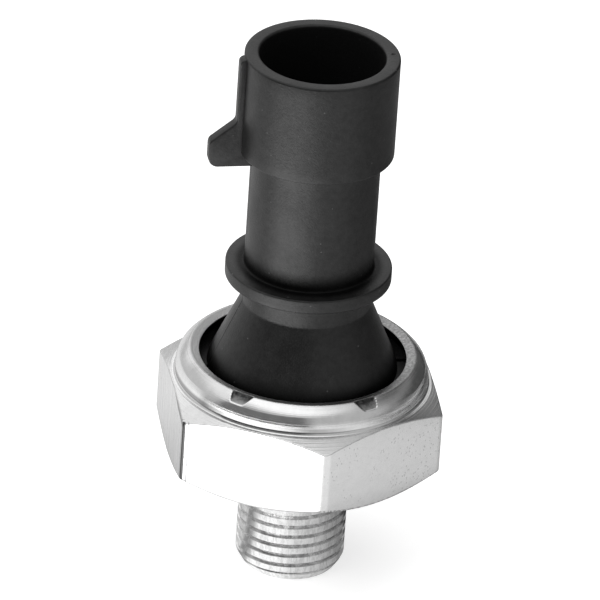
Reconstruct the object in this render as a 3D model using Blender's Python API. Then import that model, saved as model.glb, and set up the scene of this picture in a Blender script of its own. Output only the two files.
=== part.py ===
"""Oil pressure sender: a threaded steel body, a moulded connector rolled into it, and the switch inside.

The frame stands on the stud's end face: +Z runs up the axis, and the connector's latch points along -X.
Heights add up from the stud's end, so each size below can be changed by itself.
"""

import math

import bmesh
import bpy
from mathutils import Matrix, Vector

MM = 0.001

# Clearances
SEAT_GAP = 0.2 * MM  # between two faces that rest on each other
FIT_GAP = 0.2 * MM  # radial, between a piece and the bore or hole that holds it

# Steel body: stud, hexagon, cup and rolled lip
STUD_RADIUS = 5.0 * MM
STUD_LENGTH = 11.4 * MM
STUD_END_RADIUS = 4.27 * MM
STUD_CHAMFER = 1.2 * MM
THREAD_PITCH = 1.0 * MM
THREAD_DEPTH = 0.61 * MM
THREAD_RUN_OUT = 0.7 * MM
STUD_RELIEF = 0.7 * MM  # plain neck between the thread and the hexagon
SEAT_RELIEF_DEPTH = 0.3 * MM  # of the cone that the neck ends in, up into the hexagon
SEAT_RELIEF_SPARE = 0.15 * MM  # of the cone, out past the thread
OIL_BORE_RADIUS = 1.6 * MM
HEX_WALL = 1.6 * MM  # from the cup out to the flats, which are then 24 mm apart
HEX_HEIGHT = 7.8 * MM
HEX_CHAMFER_ANGLE = math.radians(30)  # under the hexagon
HEX_FACE_INSET = 0.25 * MM  # from the flats in to the round bearing face
HEX_TOP_CHAMFER = 0.85 * MM  # height that the top's chamfer takes from each corner
CUP_FLOOR = 2.6 * MM  # above the bearing face
OIL_CHAMBER_INSET = 0.5 * MM  # from the gasket's inner edge
OIL_CHAMBER_DEPTH = 0.4 * MM
LIP_WALL = 1.15 * MM
LIP_HEIGHT = 2.6 * MM  # from the hexagon's top to the lip's highest edge
LIP_FOOT_FILLET = 0.35 * MM
LIP_BEND_DEPTH = 1.4 * MM  # from the highest edge down to where the wall starts to bend
LIP_BEND_RADIUS = 0.9 * MM
LIP_BEND_ANGLE = 45  # degrees
LIP_REACH = 0.9 * MM  # how far the lip is rolled in past the cup's wall
LIP_END_DROP = 0.25 * MM  # of the wall's end face, from its outer edge to its inner one
LIP_INNER_DEPTH = 1.6 * MM  # from the highest edge down to the straight cup wall
NICK_DEPTH = 0.93 * MM
NICK_WIDTH = 2.3 * MM  # at the lip's highest edge
NICK_FLOOR_WIDTH = 1.1 * MM
NICK_LEAN = 0.3 * MM  # of a nick's floor, away from the other nick of its pair
NICK_EDGE_INSET = 0.3 * MM  # from the cup's wall in to the nick's inner edge
NICK_FLOOR_INSET = -0.1 * MM  # from the cup's wall in to the floor's inner edge
NICK_PAIRS = ((229.0, 293.0), (49.0, 109.0))  # degrees from the X axis, front pair first

# Diaphragm stack, from the cup's floor up
GASKET_THICKNESS = 0.7 * MM
FILM_THICKNESS = 0.2 * MM
FILM_RISE = 0.6 * MM
FILM_FREE_WIDTH = 0.6 * MM  # flat film between its slope and the clamp ring
CLAMP_THICKNESS = 0.8 * MM
CLAMP_BEVEL = 0.2 * MM
CONTACT_RING_THICKNESS = 0.5 * MM
CONTACT_RING_RIM = 0.7 * MM  # crown outside the contact disc's edge
CONTACT_RING_RAMP = 0.6 * MM
CONTACT_RING_LEAN = 0.2 * MM  # the ramp's lower face lies this far inside its upper face

# Moving contact
TRAVEL = 0.4 * MM
TRAVEL_SPARE = 0.4 * MM  # left under the contact ring's crown at full travel
PLATE_THICKNESS = 0.5 * MM
PLATE_BEVEL = 0.15 * MM
PLUNGER_RADIUS = 1.8 * MM
PLUNGER_CLEARANCE = 0.6 * MM  # round the stem, in the fixed contact ring
PLUNGER_SPIGOT_RADIUS = 0.8 * MM
PLUNGER_SPIGOT_HEIGHT = 0.6 * MM  # above the contact disc
DISC_THICKNESS = 0.4 * MM
DISC_RIM = 1.0 * MM  # from the pads' circle to the disc's edge
PAD_COUNT = 3
PAD_INSET = 1.5 * MM  # from the contact ring's hole to the pads' circle
PAD_RADIUS = 0.75 * MM
PAD_HEIGHT = 0.25 * MM
PAD_SHANK_RADIUS = 0.35 * MM
SPRING_RADIUS = 2.7 * MM
SPRING_WIRE_RADIUS = 0.25 * MM
SPRING_TURNS = 7
SPRING_END_GAP = 0.05 * MM  # between the wires of a closed end turn

# Connector housing, from its base in the cup up to the socket's rim
SKIRT_WALL = 2.3 * MM  # at the O-ring's groove
LEDGE_DEPTH = 1.4 * MM  # from the lip's highest edge down to the base ledge
LEDGE_CHAMFER = 0.3 * MM
LEDGE_NOTCH_WIDTH = 0.5 * MM
LEDGE_NOTCH_DEPTH = 0.4 * MM
CONE_GAP = 0.85 * MM  # from the lip's inner edge
CONE_FOOT_HEIGHT = 0.5 * MM
CONE_FOOT_ROUND = 0.15 * MM
CONE_HEIGHT = 6.3 * MM
NECK_RADIUS = 5.9 * MM
COLLAR_FOOT = 2.4 * MM  # straight stretch between the cone and the collar
COLLAR_RADIUS = 7.6 * MM
COLLAR_THICKNESS = 1.3 * MM
COLLAR_ROUND = 0.15 * MM
NECK_LENGTH = 11.6 * MM
SOCKET_RADIUS = 7.05 * MM
SOCKET_BORE_RADIUS = 5.7 * MM
SOCKET_LENGTH = 9.6 * MM
SOCKET_FLOOR = 1.3 * MM
SOCKET_ROUND = 0.2 * MM
WELL_RADIUS = 4.15 * MM
WEB_THICKNESS = 4.0 * MM
WEB_ABOVE_COLLAR = 2.5 * MM
CHAMBER_GAP = 0.4 * MM  # round the spring cup
CHAMBER_STRAIGHT = 6.0 * MM  # narrow stretch below the web
CHAMBER_MOUTH = 2.4 * MM  # wide stretch above the base

# Latch on the socket's side
LATCH_THICKNESS = 1.2 * MM
LATCH_RIB_PROUD = 0.5 * MM
LATCH_RIB_BELOW_RIM = 0.15 * MM
LATCH_REACH = 9.95 * MM
LATCH_DROP = 1.3 * MM  # below the socket's lower face
LATCH_HEIGHT = 2.9 * MM  # of its outer end, from the bottom to the ramp
LATCH_RAMP_RISE = 1.15 * MM
LATCH_CORNER = 0.9 * MM
LATCH_NOSE = 0.45 * MM
LATCH_FILLET = 0.75 * MM  # between the ramp and the rib
LATCH_ROOT_DEPTH = 0.7 * MM  # how far the plate reaches into the neck and the socket

# Terminal
BLADE_WIDTH = 6.3 * MM
BLADE_THICKNESS = 0.8 * MM
BLADE_BELOW_RIM = 5.5 * MM
BLADE_TIP_TAPER = 0.9 * MM
BLADE_TIP_SHARE = 0.45  # of the thickness, left at the bevelled tip
BLADE_HOLE_RADIUS = 0.85 * MM
BLADE_HOLE_BELOW_TIP = 2.9 * MM
SHANK_WIDTH = 4.0 * MM
SHANK_OFFSET = 2.2 * MM
SHANK_BEND = 0.8 * MM
SHANK_ABOVE_SEAL = 0.6 * MM
FOOT_LENGTH = 2.6 * MM  # past the axis, away from the shank
RIVET_RADIUS = 0.8 * MM
RIVET_HEAD_RADIUS = 1.4 * MM
RIVET_HEAD_HEIGHT = 0.5 * MM
CUP_PLATE_THICKNESS = 0.5 * MM
CUP_SKIRT_THICKNESS = 0.35 * MM
CUP_SKIRT_HEIGHT = 1.2 * MM
CUP_BEVEL = 0.25 * MM
SEAL_THICKNESS = 0.8 * MM
VENT_RADIUS = 0.55 * MM
VENT_CIRCLE_RADIUS = 2.8 * MM
VENT_ANGLE = math.radians(120)
BREATHER_RADIUS = 0.85 * MM
BREATHER_SEAT_DEPTH = 2.0 * MM  # below the well's floor
CUT_SPARE = 1.0 * MM  # how far a cutter runs past the faces it opens
O_RING_SECTION_RADIUS = 0.65 * MM

# Heights, added up from the stud's end face
HEX_BOTTOM = STUD_LENGTH
HEX_TOP = HEX_BOTTOM + HEX_HEIGHT
LIP_TOP = HEX_TOP + LIP_HEIGHT
CUP_FLOOR_Z = HEX_BOTTOM + CUP_FLOOR
GASKET_Z = CUP_FLOOR_Z + SEAT_GAP
FILM_Z = GASKET_Z + GASKET_THICKNESS + SEAT_GAP
CLAMP_Z = FILM_Z + FILM_THICKNESS + SEAT_GAP
CONTACT_RING_Z = CLAMP_Z + CLAMP_THICKNESS + SEAT_GAP
SKIRT_Z = CONTACT_RING_Z + CONTACT_RING_THICKNESS + SEAT_GAP
PLATE_Z = FILM_Z + FILM_THICKNESS + FILM_RISE + SEAT_GAP
PLUNGER_Z = PLATE_Z + PLATE_THICKNESS + SEAT_GAP
CROWN_Z = PLATE_Z + PLATE_THICKNESS + TRAVEL + TRAVEL_SPARE
FIXED_PAD_Z = CROWN_Z + CONTACT_RING_THICKNESS + SEAT_GAP
MOVING_PAD_Z = FIXED_PAD_Z + PAD_HEIGHT + SEAT_GAP
DISC_Z = MOVING_PAD_Z + PAD_HEIGHT + SEAT_GAP
SPRING_Z = DISC_Z + DISC_THICKNESS + SEAT_GAP
LEDGE_Z = LIP_TOP - LEDGE_DEPTH
CONE_Z = LEDGE_Z + CONE_FOOT_HEIGHT
CONE_TOP = CONE_Z + CONE_HEIGHT
COLLAR_Z = CONE_TOP + COLLAR_FOOT
COLLAR_TOP = COLLAR_Z + COLLAR_THICKNESS
SOCKET_Z = COLLAR_TOP + NECK_LENGTH
RIM_Z = SOCKET_Z + SOCKET_LENGTH
SOCKET_FLOOR_Z = SOCKET_Z + SOCKET_FLOOR
WEB_Z = COLLAR_TOP + WEB_ABOVE_COLLAR
WELL_FLOOR_Z = WEB_Z + WEB_THICKNESS
FOOT_TOP = WEB_Z - SEAT_GAP
FOOT_Z = FOOT_TOP - BLADE_THICKNESS
CUP_TOP = FOOT_Z - SEAT_GAP
CUP_UNDERSIDE = CUP_TOP - CUP_PLATE_THICKNESS
SPRING_TOP = CUP_UNDERSIDE - SEAT_GAP
BLADE_TIP_Z = RIM_Z - BLADE_BELOW_RIM

# Thread, from the height where the end's chamfer meets its root up to the relief
THREAD_ROOT_RADIUS = STUD_RADIUS - THREAD_DEPTH
THREAD_START = STUD_CHAMFER * (THREAD_ROOT_RADIUS - STUD_END_RADIUS) / (STUD_RADIUS - STUD_END_RADIUS)
THREAD_TOP = STUD_LENGTH - STUD_RELIEF

# Radii, from the plunger outwards to the hexagon
CONTACT_RING_HOLE_RADIUS = PLUNGER_RADIUS + PLUNGER_CLEARANCE
PAD_CIRCLE_RADIUS = CONTACT_RING_HOLE_RADIUS + PAD_INSET
PAD_HOLE_RADIUS = PAD_SHANK_RADIUS + FIT_GAP
DISC_RADIUS = PAD_CIRCLE_RADIUS + DISC_RIM
PLATE_RADIUS = DISC_RADIUS
CONTACT_RING_CROWN_RADIUS = DISC_RADIUS + CONTACT_RING_RIM
CONTACT_RING_RAMP_RADIUS = CONTACT_RING_CROWN_RADIUS + CONTACT_RING_RAMP
SKIRT_INNER_RADIUS = CONTACT_RING_RAMP_RADIUS + FIT_GAP
FILM_FOOT_RADIUS = SKIRT_INNER_RADIUS
CLAMP_INNER_RADIUS = FILM_FOOT_RADIUS + FILM_FREE_WIDTH
OIL_CHAMBER_RADIUS = CLAMP_INNER_RADIUS - OIL_CHAMBER_INSET
GROOVE_RADIUS = SKIRT_INNER_RADIUS + SKIRT_WALL
O_RING_RADIUS = GROOVE_RADIUS + FIT_GAP + O_RING_SECTION_RADIUS
BASE_RADIUS = O_RING_RADIUS + O_RING_SECTION_RADIUS
CUP_RADIUS = BASE_RADIUS + FIT_GAP
LIP_RADIUS = CUP_RADIUS + LIP_WALL
LIP_EDGE_RADIUS = CUP_RADIUS - LIP_REACH
CONE_FOOT_RADIUS = LIP_EDGE_RADIUS - CONE_GAP
HEX_FLAT_RADIUS = CUP_RADIUS + HEX_WALL
HEX_CORNER_RADIUS = 2 * HEX_FLAT_RADIUS / math.sqrt(3)
CUP_SKIRT_INNER_RADIUS = SPRING_RADIUS + SPRING_WIRE_RADIUS + FIT_GAP
CUP_SKIRT_OUTER_RADIUS = CUP_SKIRT_INNER_RADIUS + CUP_SKIRT_THICKNESS
CHAMBER_RADIUS = CUP_SKIRT_OUTER_RADIUS + CHAMBER_GAP
GROOVE_TOP = SKIRT_Z + 2 * O_RING_SECTION_RADIUS + SEAT_GAP

OUTSIDE_SEGMENTS = 48
INSIDE_SEGMENTS = 32
SMALL_SEGMENTS = 16
SHARP_ANGLE = math.radians(35)
MERGE_GAP = 0.005 * MM  # thread points nearer than this to the thread's end are that end


def clear_scene():
    for item in list(bpy.data.objects):
        bpy.data.objects.remove(item, do_unlink=True)


def material(name, colour, roughness, metallic):
    made = bpy.data.materials.new(name)
    made.use_nodes = True
    shader = made.node_tree.nodes["Principled BSDF"]
    shader.inputs["Base Color"].default_value = (*colour, 1.0)
    shader.inputs["Roughness"].default_value = roughness
    shader.inputs["Metallic"].default_value = metallic
    made.diffuse_color = (*colour, 1.0)
    return made


def add_object(name, bm, surface):
    """Turn a bmesh into a named object with outward faces and sharp edges kept."""
    bmesh.ops.recalc_face_normals(bm, faces=bm.faces)
    mesh = bpy.data.meshes.new(name)
    bm.to_mesh(mesh)
    bm.free()
    mesh.shade_smooth()
    mesh.set_sharp_from_angle(angle=SHARP_ANGLE)
    if surface:
        mesh.materials.append(surface)
    made = bpy.data.objects.new(name, mesh)
    bpy.context.collection.objects.link(made)
    return made


def arc(centre, radius, start, end, steps):
    """Points of a profile's arc about (r, z), from one angle to another in degrees."""
    points = []
    for step in range(steps + 1):
        angle = math.radians(start + (end - start) * step / steps)
        points.append((centre[0] + radius * math.cos(angle), centre[1] + radius * math.sin(angle)))
    return points


def revolve(profile, segments):
    """Spin a closed profile of (r, z) points round the Z axis. Points with r = 0 become poles."""
    bm = bmesh.new()
    rings = []
    for radius, height in profile:
        if radius == 0:
            rings.append([bm.verts.new((0, 0, height))] * segments)
            continue
        ring = []
        for step in range(segments):
            angle = 2 * math.pi * step / segments
            ring.append(bm.verts.new((radius * math.cos(angle), radius * math.sin(angle), height)))
        rings.append(ring)
    columns = [[ring[step % segments] for ring in rings] for step in range(segments + 1)]
    skin(bm, columns)
    return bm


def skin(bm, columns):
    """Face the space between neighbouring columns. Each is a closed loop, and the last repeats the first."""
    for left, right in zip(columns, columns[1:]):
        for index in range(len(left)):
            after = (index + 1) % len(left)
            corners = []
            for vert in (left[index], right[index], right[after], left[after]):
                if vert not in corners:
                    corners.append(vert)
            if len(corners) > 2:
                bm.faces.new(corners)


def prism(outline, low, high, to_point):
    """Extrude a closed outline between two levels. to_point places (u, v, level) in space."""
    bm = bmesh.new()
    bottom = [bm.verts.new(to_point(u, v, low)) for u, v in outline]
    top = [bm.verts.new(to_point(u, v, high)) for u, v in outline]
    bm.faces.new(bottom)
    bm.faces.new(top)
    for index in range(len(outline)):
        after = (index + 1) % len(outline)
        bm.faces.new((bottom[index], bottom[after], top[after], top[index]))
    return bm


def upright(u, v, level):
    return Vector((u, v, level))


def box_outline(low_u, low_v, high_u, high_v):
    return [(low_u, low_v), (high_u, low_v), (high_u, high_v), (low_u, high_v)]


def disc_outline(radius, segments, centre=(0.0, 0.0)):
    turns = [2 * math.pi * (step + 0.5) / segments for step in range(segments)]
    return [(centre[0] + radius * math.cos(t), centre[1] + radius * math.sin(t)) for t in turns]


def as_cutter(made):
    made.hide_render = True
    made.display_type = "WIRE"
    return made


def boolean(target, tool, operation):
    change = target.modifiers.new(tool.name, "BOOLEAN")
    change.operation = operation
    change.solver = "EXACT"
    change.object = tool


def thread_radius(crest, height):
    """Radius of a crest or root, which the end's chamfer and the run-out cut down."""
    lead = STUD_END_RADIUS + (STUD_RADIUS - STUD_END_RADIUS) * height / STUD_CHAMFER
    run_out = THREAD_ROOT_RADIUS + THREAD_DEPTH * (THREAD_TOP - height) / THREAD_RUN_OUT
    return min(STUD_RADIUS if crest else THREAD_ROOT_RADIUS, lead, run_out)


def revolve_with_thread(below, above, segments):
    """Spin a section round the Z axis, with the stud's thread between its lower and upper points.

    Roots and crests climb half a pitch apart, a pitch in a turn. Those past an end of the thread
    share that end's point, so the last column is the first one, moved along by one pitch.
    """
    bm = bmesh.new()
    pitches = math.ceil((THREAD_TOP - THREAD_START) / THREAD_PITCH) + 2
    columns = []
    for step in range(segments):
        turn = step / segments
        outward = Vector((math.cos(2 * math.pi * turn), math.sin(2 * math.pi * turn), 0))

        def vertex(radius, height):
            return bm.verts.new(outward * radius + Vector((0, 0, height)))

        lowest = vertex(THREAD_ROOT_RADIUS, THREAD_START)
        highest = vertex(THREAD_ROOT_RADIUS, THREAD_TOP)
        thread = []
        for half in range(2 * pitches):
            height = THREAD_START + (half / 2 + turn - 1) * THREAD_PITCH
            if height < THREAD_START + MERGE_GAP:
                thread.append(lowest)
            elif height > THREAD_TOP - MERGE_GAP:
                thread.append(highest)
            else:
                thread.append(vertex(thread_radius(half % 2, height), height))
        columns.append(([vertex(*spot) for spot in below], thread, [vertex(*spot) for spot in above]))
    first_below, first_thread, first_above = columns[0]
    columns.append((first_below, first_thread[2:] + [first_thread[-1]] * 2, first_above))
    skin(bm, [low + thread + high for low, thread, high in columns])
    return bm


def hex_body(steel):
    """Stud, hexagon, cup and rolled lip, turned as one profile and then milled to the hexagon."""
    blank = HEX_CORNER_RADIUS + CUT_SPARE
    face_radius = HEX_FLAT_RADIUS - HEX_FACE_INSET
    bottom_rise = (blank - face_radius) * math.tan(HEX_CHAMFER_ANGLE)
    top_slope = HEX_TOP_CHAMFER / (HEX_CORNER_RADIUS - LIP_RADIUS - LIP_FOOT_FILLET)
    top_drop = HEX_TOP_CHAMFER + (blank - HEX_CORNER_RADIUS) * top_slope
    chamber_floor = CUP_FLOOR_Z - OIL_CHAMBER_DEPTH
    foot = LIP_RADIUS + LIP_FOOT_FILLET
    bend = (LIP_RADIUS - LIP_BEND_RADIUS, LIP_TOP - LIP_BEND_DEPTH)

    stud_end = [(OIL_BORE_RADIUS, 0.0), (STUD_END_RADIUS, 0.0)]
    profile = [
        (THREAD_ROOT_RADIUS, HEX_BOTTOM + SEAT_RELIEF_DEPTH),
        (STUD_RADIUS + SEAT_RELIEF_SPARE, HEX_BOTTOM),
        (face_radius, HEX_BOTTOM),
        (blank, HEX_BOTTOM + bottom_rise),
        (blank, HEX_TOP - top_drop),
    ]
    profile += arc((foot, HEX_TOP + LIP_FOOT_FILLET), LIP_FOOT_FILLET, 270, 180, 2)
    profile += arc(bend, LIP_BEND_RADIUS, 0, LIP_BEND_ANGLE, 2)
    profile += [
        (CUP_RADIUS, LIP_TOP),
        (LIP_EDGE_RADIUS, LIP_TOP - LIP_END_DROP),
        (CUP_RADIUS, LIP_TOP - LIP_INNER_DEPTH),
        (CUP_RADIUS, CUP_FLOOR_Z),
        (OIL_CHAMBER_RADIUS, CUP_FLOOR_Z),
        (OIL_CHAMBER_RADIUS, chamber_floor),
        (OIL_BORE_RADIUS, chamber_floor),
    ]
    turned = revolve_with_thread(stud_end, profile, OUTSIDE_SEGMENTS)
    body = add_object("hex_body", turned, steel)

    hexagon = [
        (HEX_CORNER_RADIUS * math.cos(math.radians(a)), HEX_CORNER_RADIUS * math.sin(math.radians(a)))
        for a in range(30, 390, 60)
    ]
    keep = prism(hexagon, HEX_BOTTOM - 2 * CUT_SPARE, HEX_TOP + 2 * CUT_SPARE, upright)
    low = HEX_BOTTOM - CUT_SPARE
    high = HEX_TOP + CUT_SPARE
    around = revolve(
        [
            (CUP_RADIUS, low),
            (blank + CUT_SPARE, low),
            (blank + CUT_SPARE, high),
            (CUP_RADIUS, high),
        ],
        OUTSIDE_SEGMENTS,
    )
    inside = as_cutter(add_object("hexagon_kept", keep, None))
    waste = as_cutter(add_object("hexagon_waste", around, None))
    boolean(waste, inside, "DIFFERENCE")
    boolean(body, waste, "DIFFERENCE")

    for number, (right, left) in enumerate(NICK_PAIRS, start=1):
        boolean(body, nick_cutter(f"nick_{number}a", right, -NICK_LEAN), "DIFFERENCE")
        boolean(body, nick_cutter(f"nick_{number}b", left, NICK_LEAN), "DIFFERENCE")
    return body


def nick_cutter(name, degrees, lean):
    """A blunt punch, pressed into the lip from above and outside. It leaves the lip's inner edge whole."""
    bm = bmesh.new()
    for rise in (0.0, 1 + CUT_SPARE / NICK_DEPTH):
        inset = NICK_FLOOR_INSET + (NICK_EDGE_INSET - NICK_FLOOR_INSET) * rise
        half = (NICK_FLOOR_WIDTH + (NICK_WIDTH - NICK_FLOOR_WIDTH) * rise) / 2
        middle = lean * (1 - rise)
        height = LIP_TOP - NICK_DEPTH * (1 - rise)
        for across in (middle - half, middle + half):
            bm.verts.new((CUP_RADIUS - inset, across, height))
            bm.verts.new((LIP_RADIUS + CUT_SPARE, across, height))
    bmesh.ops.convex_hull(bm, input=bm.verts)
    turn = Matrix.Rotation(math.radians(degrees), 3, "Z")
    bmesh.ops.rotate(bm, verts=bm.verts, cent=(0, 0, 0), matrix=turn)
    return as_cutter(add_object(name, bm, None))


def flat_ring(name, inner, outer, low, thickness, surface, bevel=0.0):
    """A washer, with its outer and inner edges broken by a small bevel if one is given."""
    high = low + thickness
    if bevel:
        profile = [
            (inner + bevel, low),
            (outer - bevel, low),
            (outer, low + bevel),
            (outer, high - bevel),
            (outer - bevel, high),
            (inner + bevel, high),
            (inner, high - bevel),
            (inner, low + bevel),
        ]
    else:
        profile = [(inner, low), (outer, low), (outer, high), (inner, high)]
    return add_object(name, revolve(profile, INSIDE_SEGMENTS), surface)


def diaphragm(film):
    """A film with a raised flat crown; the rim is clamped between the gasket and the clamp ring."""
    low = FILM_Z
    high = FILM_Z + FILM_THICKNESS
    profile = [
        (0, low + FILM_RISE),
        (PLATE_RADIUS, low + FILM_RISE),
        (FILM_FOOT_RADIUS, low),
        (BASE_RADIUS, low),
        (BASE_RADIUS, high),
        (FILM_FOOT_RADIUS, high),
        (PLATE_RADIUS, high + FILM_RISE),
        (0, high + FILM_RISE),
    ]
    return add_object("diaphragm", revolve(profile, INSIDE_SEGMENTS), film)


def pad_angles():
    return [2 * math.pi * step / PAD_COUNT + math.pi / 2 for step in range(PAD_COUNT)]


def cut_round_hole(body, name, centre, radius, low, high):
    bm = prism(disc_outline(radius, SMALL_SEGMENTS, centre), low, high, upright)
    boolean(body, as_cutter(add_object(name, bm, None)), "DIFFERENCE")


def cut_pad_holes(body, prefix, low, high):
    for number, angle in enumerate(pad_angles(), start=1):
        centre = (PAD_CIRCLE_RADIUS * math.cos(angle), PAD_CIRCLE_RADIUS * math.sin(angle))
        cut_round_hole(body, f"{prefix}_pad_hole_{number}", centre, PAD_HOLE_RADIUS, low, high)


def fixed_contact_ring(steel):
    """A pressed ring: the rim lies on the clamp ring, the crown rises over the pressure plate."""
    rim_low = CONTACT_RING_Z
    rim_high = rim_low + CONTACT_RING_THICKNESS
    crown_high = CROWN_Z + CONTACT_RING_THICKNESS
    lean = CONTACT_RING_LEAN
    profile = [
        (CONTACT_RING_HOLE_RADIUS, CROWN_Z),
        (CONTACT_RING_CROWN_RADIUS - lean, CROWN_Z),
        (CONTACT_RING_RAMP_RADIUS - lean, rim_low),
        (BASE_RADIUS, rim_low),
        (BASE_RADIUS, rim_high),
        (CONTACT_RING_RAMP_RADIUS, rim_high),
        (CONTACT_RING_CROWN_RADIUS, crown_high),
        (CONTACT_RING_HOLE_RADIUS, crown_high),
    ]
    ring = add_object("fixed_contact_ring", revolve(profile, INSIDE_SEGMENTS), steel)
    cut_pad_holes(ring, "ring", CROWN_Z - CUT_SPARE, crown_high + CUT_SPARE)
    return ring


def contact_pads(prefix, head_low, shank_low, shank_high, silver):
    """Rivet-shaped pads: a round head and a shank that fills its hole up to the far face."""
    head_high = head_low + PAD_HEIGHT
    if shank_low < head_low:
        profile = [
            (0, shank_low),
            (PAD_SHANK_RADIUS, shank_low),
            (PAD_SHANK_RADIUS, head_low),
            (PAD_RADIUS, head_low),
            (PAD_RADIUS, head_high),
            (0, head_high),
        ]
    else:
        profile = [
            (0, head_low),
            (PAD_RADIUS, head_low),
            (PAD_RADIUS, head_high),
            (PAD_SHANK_RADIUS, head_high),
            (PAD_SHANK_RADIUS, shank_high),
            (0, shank_high),
        ]
    for number, angle in enumerate(pad_angles(), start=1):
        bm = revolve(profile, SMALL_SEGMENTS)
        move = Vector((PAD_CIRCLE_RADIUS * math.cos(angle), PAD_CIRCLE_RADIUS * math.sin(angle), 0))
        bmesh.ops.translate(bm, verts=bm.verts, vec=move)
        add_object(f"{prefix}_{number}", bm, silver)


def pressure_plate(steel):
    """A round plate on the film's crown, with a hole for the plunger's lower spigot."""
    hole = PLUNGER_SPIGOT_RADIUS + FIT_GAP
    flat_ring("pressure_plate", hole, PLATE_RADIUS, PLATE_Z, PLATE_THICKNESS, steel, PLATE_BEVEL)


def plunger(plastic):
    """A stepped pin: lower spigot in the plate, stem through the ring, upper spigot through the disc."""
    stem_top = DISC_Z - SEAT_GAP
    profile = [
        (0, PLATE_Z + SEAT_GAP),
        (PLUNGER_SPIGOT_RADIUS, PLATE_Z + SEAT_GAP),
        (PLUNGER_SPIGOT_RADIUS, PLUNGER_Z),
        (PLUNGER_RADIUS, PLUNGER_Z),
        (PLUNGER_RADIUS, stem_top),
        (PLUNGER_SPIGOT_RADIUS, stem_top),
        (PLUNGER_SPIGOT_RADIUS, DISC_Z + DISC_THICKNESS + PLUNGER_SPIGOT_HEIGHT),
        (0, DISC_Z + DISC_THICKNESS + PLUNGER_SPIGOT_HEIGHT),
    ]
    return add_object("plunger", revolve(profile, INSIDE_SEGMENTS), plastic)


def contact_disc(brass):
    hole = PLUNGER_SPIGOT_RADIUS + FIT_GAP
    disc = flat_ring("contact_disc", hole, DISC_RADIUS, DISC_Z, DISC_THICKNESS, brass)
    cut_pad_holes(disc, "disc", DISC_Z - CUT_SPARE, DISC_Z + DISC_THICKNESS + CUT_SPARE)
    return disc


def return_spring(wire):
    """A helix with closed end turns: the rise per step eases to nothing at both ends."""
    steps_per_turn = 16
    sides = 6
    low = SPRING_Z + SPRING_WIRE_RADIUS
    high = SPRING_TOP - SPRING_WIRE_RADIUS
    dead = 2 * SPRING_WIRE_RADIUS + SPRING_END_GAP  # rise of each closed end turn
    count = SPRING_TURNS * steps_per_turn

    def height(turn):
        if turn < 1:
            return low + dead * turn
        if turn > SPRING_TURNS - 1:
            return high - dead * (SPRING_TURNS - turn)
        open_share = (turn - 1) / (SPRING_TURNS - 2)
        return low + dead + (high - low - 2 * dead) * open_share

    bm = bmesh.new()
    loops = []
    for step in range(count + 1):
        turn = step / steps_per_turn
        angle = 2 * math.pi * turn
        outward = Vector((math.cos(angle), math.sin(angle), 0))
        centre = outward * SPRING_RADIUS + Vector((0, 0, height(turn)))
        loop = []
        for side in range(sides):
            around = 2 * math.pi * side / sides
            offset = outward * math.cos(around) + Vector((0, 0, math.sin(around)))
            loop.append(bm.verts.new(centre + offset * SPRING_WIRE_RADIUS))
        loops.append(loop)
    for first, second in zip(loops, loops[1:]):
        for side in range(sides):
            after = (side + 1) % sides
            bm.faces.new((first[side], first[after], second[after], second[side]))
    bm.faces.new(loops[0])
    bm.faces.new(loops[-1])
    return add_object("return_spring", bm, wire)


def spring_cup(brass):
    """An inverted cup over the spring's top turn, with a hole for the rivet."""
    hole = RIVET_RADIUS + FIT_GAP
    outer = CUP_SKIRT_OUTER_RADIUS
    skirt = CUP_UNDERSIDE - CUP_SKIRT_HEIGHT
    profile = [
        (hole, CUP_UNDERSIDE),
        (CUP_SKIRT_INNER_RADIUS, CUP_UNDERSIDE),
        (CUP_SKIRT_INNER_RADIUS, skirt),
        (outer, skirt),
        (outer, CUP_TOP - CUP_BEVEL),
        (outer - CUP_BEVEL, CUP_TOP),
        (hole, CUP_TOP),
    ]
    return add_object("spring_cup", revolve(profile, INSIDE_SEGMENTS), brass)


def terminal_rivet(brass):
    """One rivet through the spring cup and the blade's foot, with a domed head at each end."""
    lower = CUP_UNDERSIDE - SEAT_GAP
    upper = FOOT_TOP + SEAT_GAP
    head = RIVET_HEAD_HEIGHT
    crown = 0.6 * RIVET_HEAD_RADIUS
    profile = [
        (0, lower - head),
        (crown, lower - head),
        (RIVET_HEAD_RADIUS, lower - head / 3),
        (RIVET_HEAD_RADIUS, lower),
        (RIVET_RADIUS, lower),
        (RIVET_RADIUS, upper),
        (RIVET_HEAD_RADIUS, upper),
        (RIVET_HEAD_RADIUS, upper + head / 3),
        (crown, upper + head),
        (0, upper + head),
    ]
    return add_object("terminal_rivet", revolve(profile, SMALL_SEGMENTS), brass)


def rounded_path(corners, radius, steps):
    """A path of (x, z) points with each inner corner replaced by an arc of the given radius."""
    points = [Vector(corners[0])]
    for before, corner, after in zip(corners, corners[1:], corners[2:]):
        here = Vector(corner)
        into = (here - Vector(before)).normalized()
        out = (Vector(after) - here).normalized()
        turn = into.angle(out)
        setback = radius * math.tan(turn / 2)
        start = here - into * setback
        side = Vector((-into.y, into.x))
        if side.dot(out) < 0:
            side.negate()
        centre = start + side * radius
        for step in range(steps + 1):
            share = turn * step / steps
            points.append(centre - side * radius * math.cos(share) + into * radius * math.sin(share))
    points.append(Vector(corners[-1]))
    return points


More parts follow.
